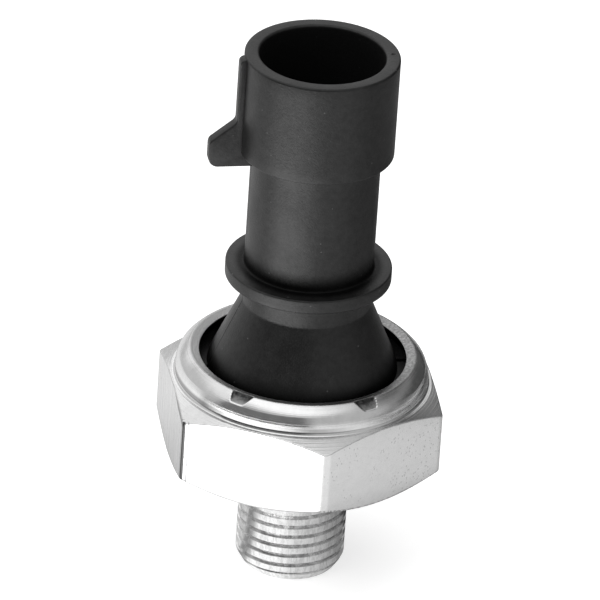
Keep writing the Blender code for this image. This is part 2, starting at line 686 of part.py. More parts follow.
def blade_terminal(tinned):
    """Tab, joggle, shank and foot, folded from one strip whose width changes along its path."""
    half = BLADE_THICKNESS / 2
    foot_middle = FOOT_Z + half
    joggle_low = WELL_FLOOR_Z + SEAT_GAP + SEAL_THICKNESS + SHANK_ABOVE_SEAL
    joggle_high = joggle_low + SHANK_OFFSET
    path = rounded_path(
        [
            (-FOOT_LENGTH, foot_middle),
            (SHANK_OFFSET, foot_middle),
            (SHANK_OFFSET, joggle_low),
            (0.0, joggle_high),
            (0.0, BLADE_TIP_Z - BLADE_TIP_TAPER),
        ],
        SHANK_BEND,
        3,
    )
    path.append(Vector((0.0, BLADE_TIP_Z)))
    widen_low = (joggle_low + joggle_high) / 2

    def width(height):
        share = (height - widen_low) / (joggle_high + SHANK_BEND - widen_low)
        share = min(1.0, max(0.0, share))
        return SHANK_WIDTH + (BLADE_WIDTH - SHANK_WIDTH) * share

    bm = bmesh.new()
    loops = []
    for index, point in enumerate(path):
        before = path[max(index - 1, 0)]
        after = path[min(index + 1, len(path) - 1)]
        along = (after - before).normalized()
        side = Vector((-along.y, along.x))
        tip = index == len(path) - 1
        thickness = half * (BLADE_TIP_SHARE if tip else 1.0)
        breadth = width(point.y) / 2 - (BLADE_TIP_TAPER / 2 if tip else 0.0)
        loop = []
        for across, through in ((-1, -1), (1, -1), (1, 1), (-1, 1)):
            spot = point + side * thickness * through
            loop.append(bm.verts.new((spot.x, breadth * across, spot.y)))
        loops.append(loop)
    for first, second in zip(loops, loops[1:]):
        for corner in range(4):
            after = (corner + 1) % 4
            bm.faces.new((first[corner], first[after], second[after], second[corner]))
    bm.faces.new(loops[0])
    bm.faces.new(loops[-1])
    blade = add_object("blade_terminal", bm, tinned)

    hole_height = BLADE_TIP_Z - BLADE_HOLE_BELOW_TIP

    def across_blade(u, v, level):
        return Vector((level, u, v + hole_height))

    outline = disc_outline(BLADE_HOLE_RADIUS, SMALL_SEGMENTS)
    tab_hole = prism(outline, -BLADE_THICKNESS, BLADE_THICKNESS, across_blade)
    boolean(blade, as_cutter(add_object("tab_hole", tab_hole, None)), "DIFFERENCE")
    foot_hole = RIVET_RADIUS + FIT_GAP
    cut_round_hole(blade, "foot_hole", (0.0, 0.0), foot_hole, FOOT_Z - CUT_SPARE, FOOT_TOP + CUT_SPARE)
    return blade


def vent_centre():
    return (VENT_CIRCLE_RADIUS * math.cos(VENT_ANGLE), VENT_CIRCLE_RADIUS * math.sin(VENT_ANGLE))


def cut_shank_slot(body, name, low, high):
    half = BLADE_THICKNESS / 2 + FIT_GAP
    breadth = SHANK_WIDTH / 2 + FIT_GAP
    outline = box_outline(SHANK_OFFSET - half, -breadth, SHANK_OFFSET + half, breadth)
    bm = prism(outline, low, high, upright)
    boolean(body, as_cutter(add_object(name, bm, None)), "DIFFERENCE")


def terminal_seal(compound):
    """Sealing compound on the well's floor, round the shank and the breather."""
    low = WELL_FLOOR_Z + SEAT_GAP
    high = low + SEAL_THICKNESS
    outline = disc_outline(WELL_RADIUS - FIT_GAP, INSIDE_SEGMENTS)
    seal = add_object("terminal_seal", prism(outline, low, high, upright), compound)
    cut_shank_slot(seal, "seal_slot", low - CUT_SPARE, high + CUT_SPARE)
    hole = BREATHER_RADIUS + FIT_GAP
    cut_round_hole(seal, "seal_vent_hole", vent_centre(), hole, low - CUT_SPARE, high + CUT_SPARE)
    return seal


def breather(porous):
    """A porous plug that stands in the vent's wide part, up to the seal's top face."""
    low = WELL_FLOOR_Z - BREATHER_SEAT_DEPTH + SEAT_GAP
    high = WELL_FLOOR_Z + SEAT_GAP + SEAL_THICKNESS
    outline = disc_outline(BREATHER_RADIUS, SMALL_SEGMENTS, vent_centre())
    return add_object("breather", prism(outline, low, high, upright), porous)


def housing_o_ring(rubber):
    """A round-section ring in the corner groove at the housing's base."""
    middle = SKIRT_Z + O_RING_SECTION_RADIUS
    section = arc((O_RING_RADIUS, middle), O_RING_SECTION_RADIUS, 0, 315, 7)
    return add_object("housing_o_ring", revolve(section, INSIDE_SEGMENTS), rubber)


def latch_outline():
    """Side view of rib and latch, from the socket's wall outwards, as (distance along -X, z)."""
    root = NECK_RADIUS - LATCH_ROOT_DEPTH
    wall = SOCKET_RADIUS - LATCH_ROOT_DEPTH
    rib = SOCKET_RADIUS + LATCH_RIB_PROUD
    rib_top = RIM_Z - LATCH_RIB_BELOW_RIM
    bottom = SOCKET_Z - LATCH_DROP
    end_top = bottom + LATCH_HEIGHT
    ramp_top = end_top + LATCH_RAMP_RISE
    corner = LATCH_CORNER
    nose = LATCH_NOSE
    proud = LATCH_RIB_PROUD
    outline = [(root, bottom)]
    outline += arc((LATCH_REACH - corner, bottom + corner), corner, 270, 360, 4)
    outline += arc((LATCH_REACH - nose, end_top - nose), nose, 0, 60, 3)
    outline += arc((rib + LATCH_FILLET, ramp_top + LATCH_FILLET), LATCH_FILLET, 240, 180, 3)
    outline += arc((rib - proud, rib_top - proud), proud, 0, 90, 3)
    outline += [(wall, rib_top), (wall, SOCKET_Z), (root, SOCKET_Z)]
    return outline


def housing_profile():
    """Section of the moulding: up its outside, over the rim, and down its inside."""
    rim = SOCKET_ROUND
    collar = COLLAR_ROUND
    foot = CONE_FOOT_ROUND
    chamber_foot = SKIRT_Z + CHAMBER_MOUTH
    chamber_neck = WEB_Z - CHAMBER_STRAIGHT
    pocket_radius = RIVET_HEAD_RADIUS + FIT_GAP
    pocket_top = FOOT_TOP + SEAT_GAP + RIVET_HEAD_HEIGHT + SEAT_GAP
    points = [
        (SKIRT_INNER_RADIUS, SKIRT_Z),
        (GROOVE_RADIUS, SKIRT_Z),
        (GROOVE_RADIUS, GROOVE_TOP),
        (BASE_RADIUS, GROOVE_TOP),
        (BASE_RADIUS, LEDGE_Z - LEDGE_CHAMFER),
        (BASE_RADIUS - LEDGE_CHAMFER, LEDGE_Z),
        (CONE_FOOT_RADIUS - foot, LEDGE_Z),
        (CONE_FOOT_RADIUS, LEDGE_Z + foot),
        (CONE_FOOT_RADIUS, CONE_Z - foot),
        (CONE_FOOT_RADIUS - foot, CONE_Z + foot),
        (NECK_RADIUS, CONE_TOP),
        (NECK_RADIUS, COLLAR_Z),
    ]
    points += arc((COLLAR_RADIUS - collar, COLLAR_Z + collar), collar, 270, 360, 2)
    points += arc((COLLAR_RADIUS - collar, COLLAR_TOP - collar), collar, 0, 90, 2)
    points += [(NECK_RADIUS, COLLAR_TOP), (NECK_RADIUS, SOCKET_Z)]
    points += arc((SOCKET_RADIUS - rim, SOCKET_Z + rim), rim, 270, 360, 1)
    points += arc((SOCKET_RADIUS - rim, RIM_Z - rim), rim, 0, 90, 3)
    points += arc((SOCKET_BORE_RADIUS + rim, RIM_Z - rim), rim, 90, 180, 2)
    points += [
        (SOCKET_BORE_RADIUS, SOCKET_FLOOR_Z),
        (WELL_RADIUS, SOCKET_FLOOR_Z),
        (WELL_RADIUS, WELL_FLOOR_Z),
        (0, WELL_FLOOR_Z),
        (0, pocket_top),
        (pocket_radius, pocket_top),
        (pocket_radius, WEB_Z),
        (CHAMBER_RADIUS, WEB_Z),
        (CHAMBER_RADIUS, chamber_neck),
        (SKIRT_INNER_RADIUS, chamber_foot),
    ]
    return points


def connector_housing(plastic):
    """Base, cone, collar, neck and socket as one moulding, with the latch grown from its side."""
    housing = add_object("connector_housing", revolve(housing_profile(), OUTSIDE_SEGMENTS), plastic)

    def outwards(u, v, level):
        return Vector((-u, level, v))

    half = LATCH_THICKNESS / 2
    latch = as_cutter(add_object("latch_plate", prism(latch_outline(), -half, half, outwards), None))
    boolean(housing, latch, "UNION")

    cut_shank_slot(housing, "web_slot", WEB_Z - CUT_SPARE, WELL_FLOOR_Z + CUT_SPARE)
    seat = WELL_FLOOR_Z - BREATHER_SEAT_DEPTH
    wide = BREATHER_RADIUS + FIT_GAP
    cut_round_hole(housing, "breather_hole", vent_centre(), wide, seat, WELL_FLOOR_Z + CUT_SPARE)
    cut_round_hole(housing, "vent_hole", vent_centre(), VENT_RADIUS, WEB_Z - CUT_SPARE, seat + CUT_SPARE)

    notch = LEDGE_NOTCH_WIDTH / 2
    for name, side in (("ledge_notch_left", -1), ("ledge_notch_right", 1)):
        ends = sorted((side * CONE_FOOT_RADIUS, side * (BASE_RADIUS + CUT_SPARE)))
        outline = box_outline(ends[0], -notch, ends[1], notch)
        bm = prism(outline, LEDGE_Z - LEDGE_NOTCH_DEPTH, LEDGE_Z + LEDGE_NOTCH_DEPTH, upright)
        boolean(housing, as_cutter(add_object(name, bm, None)), "DIFFERENCE")
    return housing


def build():
    clear_scene()
    zinc = material("zinc_plated_steel", (0.72, 0.72, 0.71), 0.28, 1.0)
    steel = material("plain_steel", (0.55, 0.55, 0.54), 0.35, 1.0)
    brass = material("brass", (0.75, 0.58, 0.28), 0.3, 1.0)
    tin = material("tinned_brass", (0.72, 0.70, 0.66), 0.32, 1.0)
    silver = material("silver_alloy", (0.85, 0.85, 0.84), 0.25, 1.0)
    wire = material("spring_wire", (0.45, 0.45, 0.46), 0.3, 1.0)
    black_plastic = material("black_plastic", (0.03, 0.03, 0.032), 0.5, 0.0)
    white_plastic = material("pin_plastic", (0.75, 0.73, 0.68), 0.5, 0.0)
    rubber = material("rubber", (0.02, 0.02, 0.02), 0.75, 0.0)
    film = material("polyimide_film", (0.55, 0.26, 0.05), 0.25, 0.0)
    compound = material("sealing_compound", (0.06, 0.05, 0.05), 0.3, 0.0)
    porous = material("porous_plug", (0.85, 0.85, 0.82), 0.8, 0.0)

    hex_body(zinc)
    inner = CLAMP_INNER_RADIUS
    flat_ring("diaphragm_gasket", inner, BASE_RADIUS, GASKET_Z, GASKET_THICKNESS, rubber)
    diaphragm(film)
    flat_ring("clamp_ring", inner, BASE_RADIUS, CLAMP_Z, CLAMP_THICKNESS, steel, CLAMP_BEVEL)
    fixed_contact_ring(steel)
    contact_pads("fixed_contact", FIXED_PAD_Z, CROWN_Z, FIXED_PAD_Z, silver)
    pressure_plate(steel)
    plunger(white_plastic)
    contact_disc(brass)
    contact_pads("moving_contact", MOVING_PAD_Z, MOVING_PAD_Z, DISC_Z + DISC_THICKNESS, silver)
    return_spring(wire)
    spring_cup(brass)
    terminal_rivet(brass)
    blade_terminal(tin)
    terminal_seal(compound)
    breather(porous)
    housing_o_ring(rubber)
    connector_housing(black_plastic)


build()
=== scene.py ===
"""Dresses the oil pressure sender: fine steel body and connector, materials, studio and camera."""

import math

import bmesh
import bpy
from mathutils import Matrix, Vector


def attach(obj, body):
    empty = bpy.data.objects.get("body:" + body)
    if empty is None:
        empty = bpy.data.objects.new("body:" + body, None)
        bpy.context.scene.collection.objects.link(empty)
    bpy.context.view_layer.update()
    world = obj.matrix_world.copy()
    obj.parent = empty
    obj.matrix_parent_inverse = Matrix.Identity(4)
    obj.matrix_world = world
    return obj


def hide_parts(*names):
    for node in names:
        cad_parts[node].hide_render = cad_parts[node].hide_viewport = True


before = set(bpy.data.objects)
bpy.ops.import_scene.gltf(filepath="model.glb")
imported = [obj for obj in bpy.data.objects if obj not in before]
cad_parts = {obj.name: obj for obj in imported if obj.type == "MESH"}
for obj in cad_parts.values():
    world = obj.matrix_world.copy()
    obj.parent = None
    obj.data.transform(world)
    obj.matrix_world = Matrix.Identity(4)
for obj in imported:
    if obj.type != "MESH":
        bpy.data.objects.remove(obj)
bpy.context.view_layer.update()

MM = 0.001
SIXTH = math.pi / 3

# Steel body, in millimetres, as in the part's source
OIL_BORE_RADIUS = 1.6
STUD_END_RADIUS = 4.27
STUD_RADIUS = 5.0
STUD_CHAMFER = 1.2
HEX_BOTTOM = 11.4
HEX_TOP = 19.2
HEX_FLAT_RADIUS = 12.0
HEX_CORNER_RADIUS = HEX_FLAT_RADIUS / math.cos(SIXTH / 2)
HEX_FACE_RADIUS = 11.75
HEX_CHAMFER = math.radians(30)
HEX_TOP_CHAMFER = 0.85
LIP_RADIUS = 11.55
LIP_FOOT_FILLET = 0.35
LIP_TOP = 21.8
CUP_RADIUS = 10.4
CUP_TOP = 20.2
CUP_FLOOR_Z = 14.0
OIL_CHAMBER_RADIUS = 6.5
OIL_CHAMBER_Z = 13.6
NICK_DEPTH = 0.93
NICK_WIDTH = 2.3
NICK_FLOOR_WIDTH = 1.1
NICK_LEAN = 0.3
NICK_EDGE_RADIUS = 10.1
NICK_FLOOR_RADIUS = 10.5
NICKS = [(math.radians(a), lean) for a, lean in ((229, -1), (293, 1), (49, -1), (109, 1))]
SEAT_INNER_RADIUS = 5.15
THREAD_PITCH = 1.0
THREAD_ROOT_RADIUS = 4.39
THREAD_LOW = 0.197
THREAD_HIGH = 10.7
THREAD_RUN_OUT = 0.7

# Finer forms of the steel body, in millimetres. A leg is a length and the heading that it ends on.
CORNER_ROUNDS = (0.3, 0.3, 0.3, 0.3, 1.15, 0.35)  # of the hexagon, the first corner at 30 degrees
EDGE_ROUND = 0.1
BORE_CHAMFER = 0.15
SEAT_EDGE_ROUND = 0.06
RELIEF_RADIUS = 4.3
RELIEF_LEGS = ((0.6, 90), (0.35, 0))
CHAMFER_START = 11.9
CHAMFER_REACH = HEX_CORNER_RADIUS - CHAMFER_START
CHAMFER_LEAN = 0.9  # share of the chamfer's drop that is straight, the rest being curved
FOOT_GROOVE = 0.02  # where the chamfer meets the lip's foot
LIP_START = (LIP_RADIUS + 0.07, HEX_TOP + LIP_FOOT_FILLET + 0.08)
LIP_HEADING = 94
LIP_LEGS = ((0.3, 98), (0.85, 112), (0.3, 130), (1.0, 144), (0.3, 195), (0.7, 195), (0.12, 300))
LIP_STEP = 0.07
NICK_FLOOR_SLOPE = 0.42
NICK_ROUND = 0.06
NICK_EDGE_ROUND = 0.02
CREST_SHARE = 0.66  # of half a pitch, flat on the crest
FLANK_SHARE = 0.28  # of half a pitch, from the crest down to the root
STATIONS = 10  # points in a pitch
COLUMN_STEP = 3.0  # degrees
FINE_STEP = 0.4  # degrees, within the reach of the corners and nicks
CORNER_REACH = 3.6
NICK_REACH = 7.6
MERGE_GAP = 0.001
STEEL_SHARP = 40  # degrees between faces, from which an edge stays sharp

# Connector, in millimetres, as in the part's source
SKIRT_Z = 17.0
SKIRT_INNER_RADIUS = 6.4
GROOVE_RADIUS = 8.7
GROOVE_TOP = 18.5
BASE_RADIUS = 10.2
LEDGE_Z = 20.4
LEDGE_CHAMFER = 0.3
CONE_FOOT_RADIUS = 8.65
CONE_Z = 20.9
CONE_TOP = 27.2
NECK_RADIUS = 5.9
COLLAR_Z = 29.6
COLLAR_TOP = 30.9
COLLAR_RADIUS = 7.6
SOCKET_Z = 42.5
SOCKET_RADIUS = 7.05
SOCKET_BORE_RADIUS = 5.7
SOCKET_FLOOR_Z = 43.8
RIM_Z = 52.1
WELL_RADIUS = 4.15
WELL_FLOOR_Z = 37.4
WEB_Z = 33.4
WEB_RECESS_RADIUS = 1.6
WEB_RECESS_Z = 34.3
CHAMBER_RADIUS = 3.9
CHAMBER_NECK_Z = 27.4
CHAMBER_FOOT_Z = 19.4
BLADE_SLOT_NEAR = 1.6
BLADE_SLOT_FAR = 2.8
BLADE_SLOT_HALF_WIDTH = 2.2
VENT_DISTANCE = 2.8
VENT_ANGLE = math.radians(120)
VENT_RADIUS = 0.55
BREATHER_RADIUS = 1.05
BREATHER_Z = 35.4
LATCH_REACH = 9.95
LATCH_BOTTOM = SOCKET_Z - 1.3
LATCH_END_TOP = LATCH_BOTTOM + 2.9
LATCH_RAMP_TOP = LATCH_END_TOP + 1.15
LATCH_HALF_WIDTH = 0.6
RIB_RADIUS = SOCKET_RADIUS + 0.5
RIB_TOP = RIM_Z - 0.15

# Finer forms of the connector, in millimetres
SEAM_HEIGHT = 0.035
SEAM_HALF_ANGLE = 0.8  # degrees
SEAM_REACH = 1.6  # degrees, of the finer columns round the seam
PLASTIC_COLUMN_STEP = 2.0  # degrees
WALL_OVERLAP = 0.7  # of the latch's plate with the walls that carry it
LATCH_FOOT_ROUND = 0.9
LATCH_TIP_ROUND = 0.7
LATCH_RAMP_ROUND = 0.75
RIB_ROUND = 0.5
LATCH_EDGE_ROUND = 0.13
NOTCH_REACH = 11.0
NOTCH_HALF_WIDTH = 0.25
NOTCH_DEPTH = 0.4
DIMPLE_RADIUS = 0.32
DIMPLE_DISTANCE = 6.42
DIMPLE_ANGLE = math.radians(-3)
DIMPLE_RISE = 0.2
CUT_SPARE = 0.5
PLASTIC_SHARP = 32  # degrees

# Directions on the steel, in degrees from +X
LEFT_FLAT = 180
LEFT_CORNER = 210
FRONT_FLAT = 240
RIGHT_FLAT = 300
ROUGH_SIDE = 7.125
LEFT_SIDE = 168.5
WINDOW_SIDE = 220.5
RIGHT_SIDE = 348.5

# Depths of the surfaces' bumps, in millimetres
CHAMFER_TILT = 0.12
RING_DEPTH = 0.014
PEEL_DEPTH = 0.012
MATTE_DEPTH = 0.05
GRAIN_DEPTH = 0.024


def column_angles(step, dense):
    """Angles round the circle: one every step degrees, and finer ones round the places that need them."""
    angles = {round(step * n, 4) for n in range(int(360 / step))}
    for centre, reach, fine in dense:
        count = int(reach / fine)
        angles |= {round((centre + fine * n) % 360, 4) for n in range(-count, count + 1)}
    kept = []
    for angle in sorted(angles):
        if not kept or angle - kept[-1] > 0.05:
            kept.append(angle)
    return [math.radians(a) for a in kept]


def sweep(start, heading, legs, step):
    """Points of a smooth path. Each leg is a length and the heading, in degrees, that it ends on."""
    points = [start]
    r, z = start
    for length, end in legs:
        count = max(1, math.ceil(length / step), math.ceil(abs(end - heading) / 8))
        for n in range(count):
            angle = math.radians(heading + (end - heading) * (n + 0.5) / count)
            r += length / count * math.cos(angle)
            z += length / count * math.sin(angle)
            points.append((r, z))
        heading = end
    return points


def eased_corner(before, corner, after, size, steps=4):
    """A rounded corner of a path, as points of a quadratic curve that starts and ends size away."""
    first = Vector(corner) + (Vector(before) - Vector(corner)).normalized() * size
    last = Vector(corner) + (Vector(after) - Vector(corner)).normalized() * size
    middle = Vector(corner)
    points = []
    for n in range(steps + 1):
        t = n / steps
        spot = first * (1 - t) ** 2 + middle * 2 * t * (1 - t) + last * t * t
        points.append((spot.x, spot.y))
    return points


def arc(centre, radius, start, end, steps):
    points = []
    for n in range(steps + 1):
        angle = math.radians(start + (end - start) * n / steps)
        points.append((centre[0] + radius * math.cos(angle), centre[1] + radius * math.sin(angle)))
    return points


def between(first, last, count):
    """Points from first up to, not including, last."""
    return [
        (first[0] + (last[0] - first[0]) * n / count, first[1] + (last[1] - first[1]) * n / count)
        for n in range(count)
    ]


class Shell:
    """A closed surface made of columns of vertices round the Z axis."""

    def __init__(self):
        self.bm = bmesh.new()

    def vertex(self, angle, r, z):
        return self.bm.verts.new((r * math.cos(angle) * MM, r * math.sin(angle) * MM, z * MM))

    def skin(self, columns):
        """Faces between neighbouring columns. Each is a closed loop, and the last repeats the first."""
        for left, right in zip(columns, columns[1:]):
            for n in range(len(left)):
                after = (n + 1) % len(left)
                corners = []
                for vert in (left[n], right[n], right[after], left[after]):
                    if vert not in corners:
                        corners.append(vert)
                if len(corners) > 2:
                    self.bm.faces.new(corners)

    def done(self, name, sharp):
        made = linked(name, self.bm)
        made.data.shade_smooth()
        made.data.set_sharp_from_angle(angle=math.radians(sharp))
        return made


def hex_radius(angle):
    """Distance from the axis to the hexagon's outline, whose corners are a little rounded."""
    size = CORNER_ROUNDS[int((angle % (2 * math.pi)) / SIXTH)]
    off = abs((angle + SIXTH / 2) % SIXTH - SIXTH / 2)
    inner = HEX_FLAT_RADIUS - size
    tangent = math.atan2(inner * math.tan(SIXTH / 2), HEX_FLAT_RADIUS)
    if off <= tangent:
        return HEX_FLAT_RADIUS / math.cos(off)
    centre = inner / math.cos(SIXTH / 2)
    side = SIXTH / 2 - off
    return centre * math.cos(side) + math.sqrt(size**2 - (centre * math.sin(side)) ** 2)


def larger(first, second, size):
    """The larger of two numbers, with a rounded change from one to the other."""
    return (first + second + math.sqrt((first - second) ** 2 + size**2)) / 2


def nick_height(angle, r):
    """Height of the blunt nicks' faces at a spot of the lip."""
    lowest = LIP_TOP + 1
    foot = NICK_FLOOR_WIDTH / 2
    spread = (NICK_WIDTH - NICK_FLOOR_WIDTH) / 2
    for nick, side in NICKS:
        inward = r * math.cos(angle - nick)
        if inward > 0:
            across = r * math.sin(angle - nick)
            lean = side * NICK_LEAN
            floor = (LIP_RADIUS - inward) * NICK_FLOOR_SLOPE / NICK_DEPTH
            right = (lean - foot - across) / (spread + lean)
            left = (across - lean - foot) / (spread - lean)
            back = (NICK_FLOOR_RADIUS - inward) / (NICK_FLOOR_RADIUS - NICK_EDGE_RADIUS)
            share = larger(larger(right, left, NICK_ROUND), larger(floor, back, NICK_ROUND), NICK_ROUND)
            lowest = min(lowest, LIP_TOP - NICK_DEPTH + share * NICK_DEPTH)
    return lowest


def chamfer_height(r):
    """Height of the crowned chamfer on the hexagon's top."""
    share = (r - CHAMFER_START) / CHAMFER_REACH
    return HEX_TOP - HEX_TOP_CHAMFER * (CHAMFER_LEAN * share + (1 - CHAMFER_LEAN) * share**2)


def thread_radius(phase, z):
    """Radius of the thread at a phase of its turn, cut by the end's chamfer and run out into the relief."""
    share = abs(phase - 0.5) * 2
    slope = min(1.0, max(0.0, (share - CREST_SHARE) / FLANK_SHARE))
    crest = STUD_RADIUS - (STUD_RADIUS - THREAD_ROOT_RADIUS) * slope
    lead = STUD_END_RADIUS + (STUD_RADIUS - STUD_END_RADIUS) * z / STUD_CHAMFER
    out = RELIEF_RADIUS + (STUD_RADIUS - RELIEF_RADIUS) * max(0.0, THREAD_HIGH - z) / THREAD_RUN_OUT
    return min(crest, lead, out)


def lip_path():
    """Section of the lip, up its outside, over its bevel and down to its end face."""
    return sweep(LIP_START, LIP_HEADING, LIP_LEGS, LIP_STEP)


def steel_below():
    """Section from the oil bore's mouth out to the thread's start."""
    return [
        (OIL_BORE_RADIUS, BORE_CHAMFER + 0.2),
        (OIL_BORE_RADIUS, BORE_CHAMFER),
        (OIL_BORE_RADIUS + BORE_CHAMFER, 0.0),
        (OIL_BORE_RADIUS + 1.0, 0.0),
        (STUD_END_RADIUS - 0.2, 0.0),
        (STUD_END_RADIUS - 0.08, 0.02),
        (STUD_END_RADIUS, 0.06),
    ]


def steel_above(angle):
    """Section from the relief under the hexagon, over the lip and down to the oil bore."""
    outer = hex_radius(angle)
    seat_start = (SEAT_INNER_RADIUS, HEX_BOTTOM)
    face_edge = (HEX_FACE_RADIUS, HEX_BOTTOM)
    low_edge = (outer, HEX_BOTTOM + (outer - HEX_FACE_RADIUS) * math.tan(HEX_CHAMFER))
    high_edge = (outer, chamfer_height(outer))
    size = min(EDGE_ROUND, (outer - CHAMFER_START) * 0.6)
    inward = outer - 2 * size
    points = sweep((RELIEF_RADIUS, THREAD_HIGH + 0.15), 90, RELIEF_LEGS, 0.1)
    points += [(SEAT_INNER_RADIUS - 0.05, HEX_BOTTOM + 0.04)]
    points += between(seat_start, face_edge, 5)
    points += eased_corner(seat_start, face_edge, low_edge, SEAT_EDGE_ROUND, 2)
    points += between(points[-1], low_edge, 4)[1:3]
    points += eased_corner(face_edge, low_edge, high_edge, size)
    points += between(points[-1], high_edge, 5)[1:]
    points += eased_corner(low_edge, high_edge, (inward, chamfer_height(inward)), size, 6)
    chamfer = between(points[-1], (CHAMFER_START, HEX_TOP), 12)[1:]
    points += [(r, chamfer_height(r)) for r, _ in chamfer]
    points += [(CHAMFER_START + side * FOOT_GROOVE, HEX_TOP - FOOT_GROOVE) for side in (1, -1)]
    points += arc((CHAMFER_START, HEX_TOP + LIP_FOOT_FILLET), LIP_FOOT_FILLET, 264, 186, 7)
    points += [(LIP_RADIUS - 0.03, HEX_TOP + LIP_FOOT_FILLET + 0.03)]
    lip = lip_path()
    lip += between(lip[-1], (CUP_RADIUS, CUP_TOP), 6)[1:]
    points += [(r, -larger(-z, -nick_height(angle, r), NICK_EDGE_ROUND)) for r, z in lip]
    points += between((CUP_RADIUS, CUP_TOP), (CUP_RADIUS, CUP_FLOOR_Z + EDGE_ROUND), 3)
    points += [
        (CUP_RADIUS, CUP_FLOOR_Z + EDGE_ROUND),
        (CUP_RADIUS - EDGE_ROUND, CUP_FLOOR_Z),
        (OIL_CHAMBER_RADIUS, CUP_FLOOR_Z),
        (OIL_CHAMBER_RADIUS, OIL_CHAMBER_Z),
        (OIL_BORE_RADIUS + EDGE_ROUND, OIL_CHAMBER_Z),
        (OIL_BORE_RADIUS, OIL_CHAMBER_Z - EDGE_ROUND),
        (OIL_BORE_RADIUS, OIL_CHAMBER_Z / 2),
    ]
    return points


def make_steel_body():
    """Stud, hexagon, cup and rolled lip as one surface, with a true helix for the thread."""
    corners = [(a, CORNER_REACH, FINE_STEP) for a in range(30, 390, 60)]
    nicks = [(math.degrees(a), NICK_REACH, FINE_STEP) for a, _ in NICKS]
    angles = column_angles(COLUMN_STEP, corners + nicks)
    shell = Shell()
    count = math.ceil(((THREAD_HIGH - THREAD_LOW) / THREAD_PITCH + 2) * STATIONS)
    below = steel_below()
    columns = []
    for angle in angles:
        column = [shell.vertex(angle, r, z) for r, z in below]
        low = shell.vertex(angle, thread_radius(0.0, THREAD_LOW), THREAD_LOW)
        high = shell.vertex(angle, RELIEF_RADIUS, THREAD_HIGH)
        for k in range(count):
            z = THREAD_LOW + (k / STATIONS + angle / (2 * math.pi) - 1) * THREAD_PITCH
            if z <= THREAD_LOW + MERGE_GAP:
                column.append(low)
            elif z >= THREAD_HIGH - MERGE_GAP:
                column.append(high)
            else:
                column.append(shell.vertex(angle, thread_radius(k % STATIONS / STATIONS, z), z))
        column += [shell.vertex(angle, r, z) for r, z in steel_above(angle)]
        columns.append(column)
    start = len(below)
    first = columns[0]
    shifted = first[start + STATIONS : start + count] + [first[start + count - 1]] * STATIONS
    columns.append(first[:start] + shifted + first[start + count :])
    shell.skin(columns)
    return shell.done("steel_body", STEEL_SHARP)


def rounded_path(corners):
    """Points from corner to corner, without the first and the last one.

    A corner is a place, the size and steps of its rounding, and the number of stretches in the line
    that leads on from it.
    """
    points = []
    for before, corner, after in zip(corners, corners[1:], corners[2:]):
        spot, size, steps, stretches = corner
        points += eased_corner(before[0], spot, after[0], size, steps)
        points += between(points[-1], after[0], stretches)[1:]
    return points


def connector_section(seam):
    """Section of the moulding: up its outside, over the rim and down its inside."""
    cone_lift = SEAM_HEIGHT * seam
    neck_lift = cone_lift * 0.6
    ledge = (BASE_RADIUS, LEDGE_Z - LEDGE_CHAMFER)
    ledge_edge = (BASE_RADIUS - LEDGE_CHAMFER, LEDGE_Z)
    bore_foot = (SOCKET_BORE_RADIUS, SOCKET_FLOOR_Z)
    points = [(SKIRT_INNER_RADIUS, SKIRT_Z), (GROOVE_RADIUS, SKIRT_Z), (GROOVE_RADIUS, GROOVE_TOP)]
    points += [(BASE_RADIUS, GROOVE_TOP)]
    points += between((BASE_RADIUS, GROOVE_TOP + 0.1), ledge, 3)
    points += eased_corner((BASE_RADIUS, GROOVE_TOP), ledge, ledge_edge, 0.08, 2)
    points += [(BASE_RADIUS - LEDGE_CHAMFER - 0.06, LEDGE_Z)]
    points += rounded_path(
        [
            (ledge_edge,),
            ((CONE_FOOT_RADIUS + cone_lift, LEDGE_Z), 0.15, 3, 1),
            ((CONE_FOOT_RADIUS + cone_lift, CONE_Z), 0.18, 4, 10),
            ((NECK_RADIUS + cone_lift, CONE_TOP), 0.12, 3, 4),
            ((NECK_RADIUS + cone_lift, COLLAR_Z), 0.12, 3, 1),
            ((COLLAR_RADIUS, COLLAR_Z), 0.17, 4, 3),
            ((COLLAR_RADIUS, COLLAR_TOP), 0.17, 4, 1),
            ((NECK_RADIUS + neck_lift, COLLAR_TOP), 0.22, 4, 8),
            ((NECK_RADIUS + neck_lift, SOCKET_Z), 0.12, 3, 1),
            ((SOCKET_RADIUS, SOCKET_Z), 0.14, 4, 8),
            ((SOCKET_RADIUS, RIM_Z), 0.22, 5, 1),
            ((SOCKET_BORE_RADIUS, RIM_Z), 0.3, 5, 6),
            (bore_foot,),
        ]
    )
    well_edge = WELL_RADIUS + EDGE_ROUND
    points += [bore_foot, (well_edge, SOCKET_FLOOR_Z), (WELL_RADIUS, SOCKET_FLOOR_Z - EDGE_ROUND)]
    points += [(WELL_RADIUS, (SOCKET_FLOOR_Z + WELL_FLOOR_Z) / 2), (WELL_RADIUS, WELL_FLOOR_Z)]
    return points


def connector_core():
    """Section under the web, from the web's axis back down to the skirt."""
    return [
        (WEB_RECESS_RADIUS, WEB_RECESS_Z),
        (WEB_RECESS_RADIUS, WEB_Z),
        (CHAMBER_RADIUS, WEB_Z),
        (CHAMBER_RADIUS, CHAMBER_NECK_Z),
        (SKIRT_INNER_RADIUS, CHAMBER_FOOT_Z),
    ]


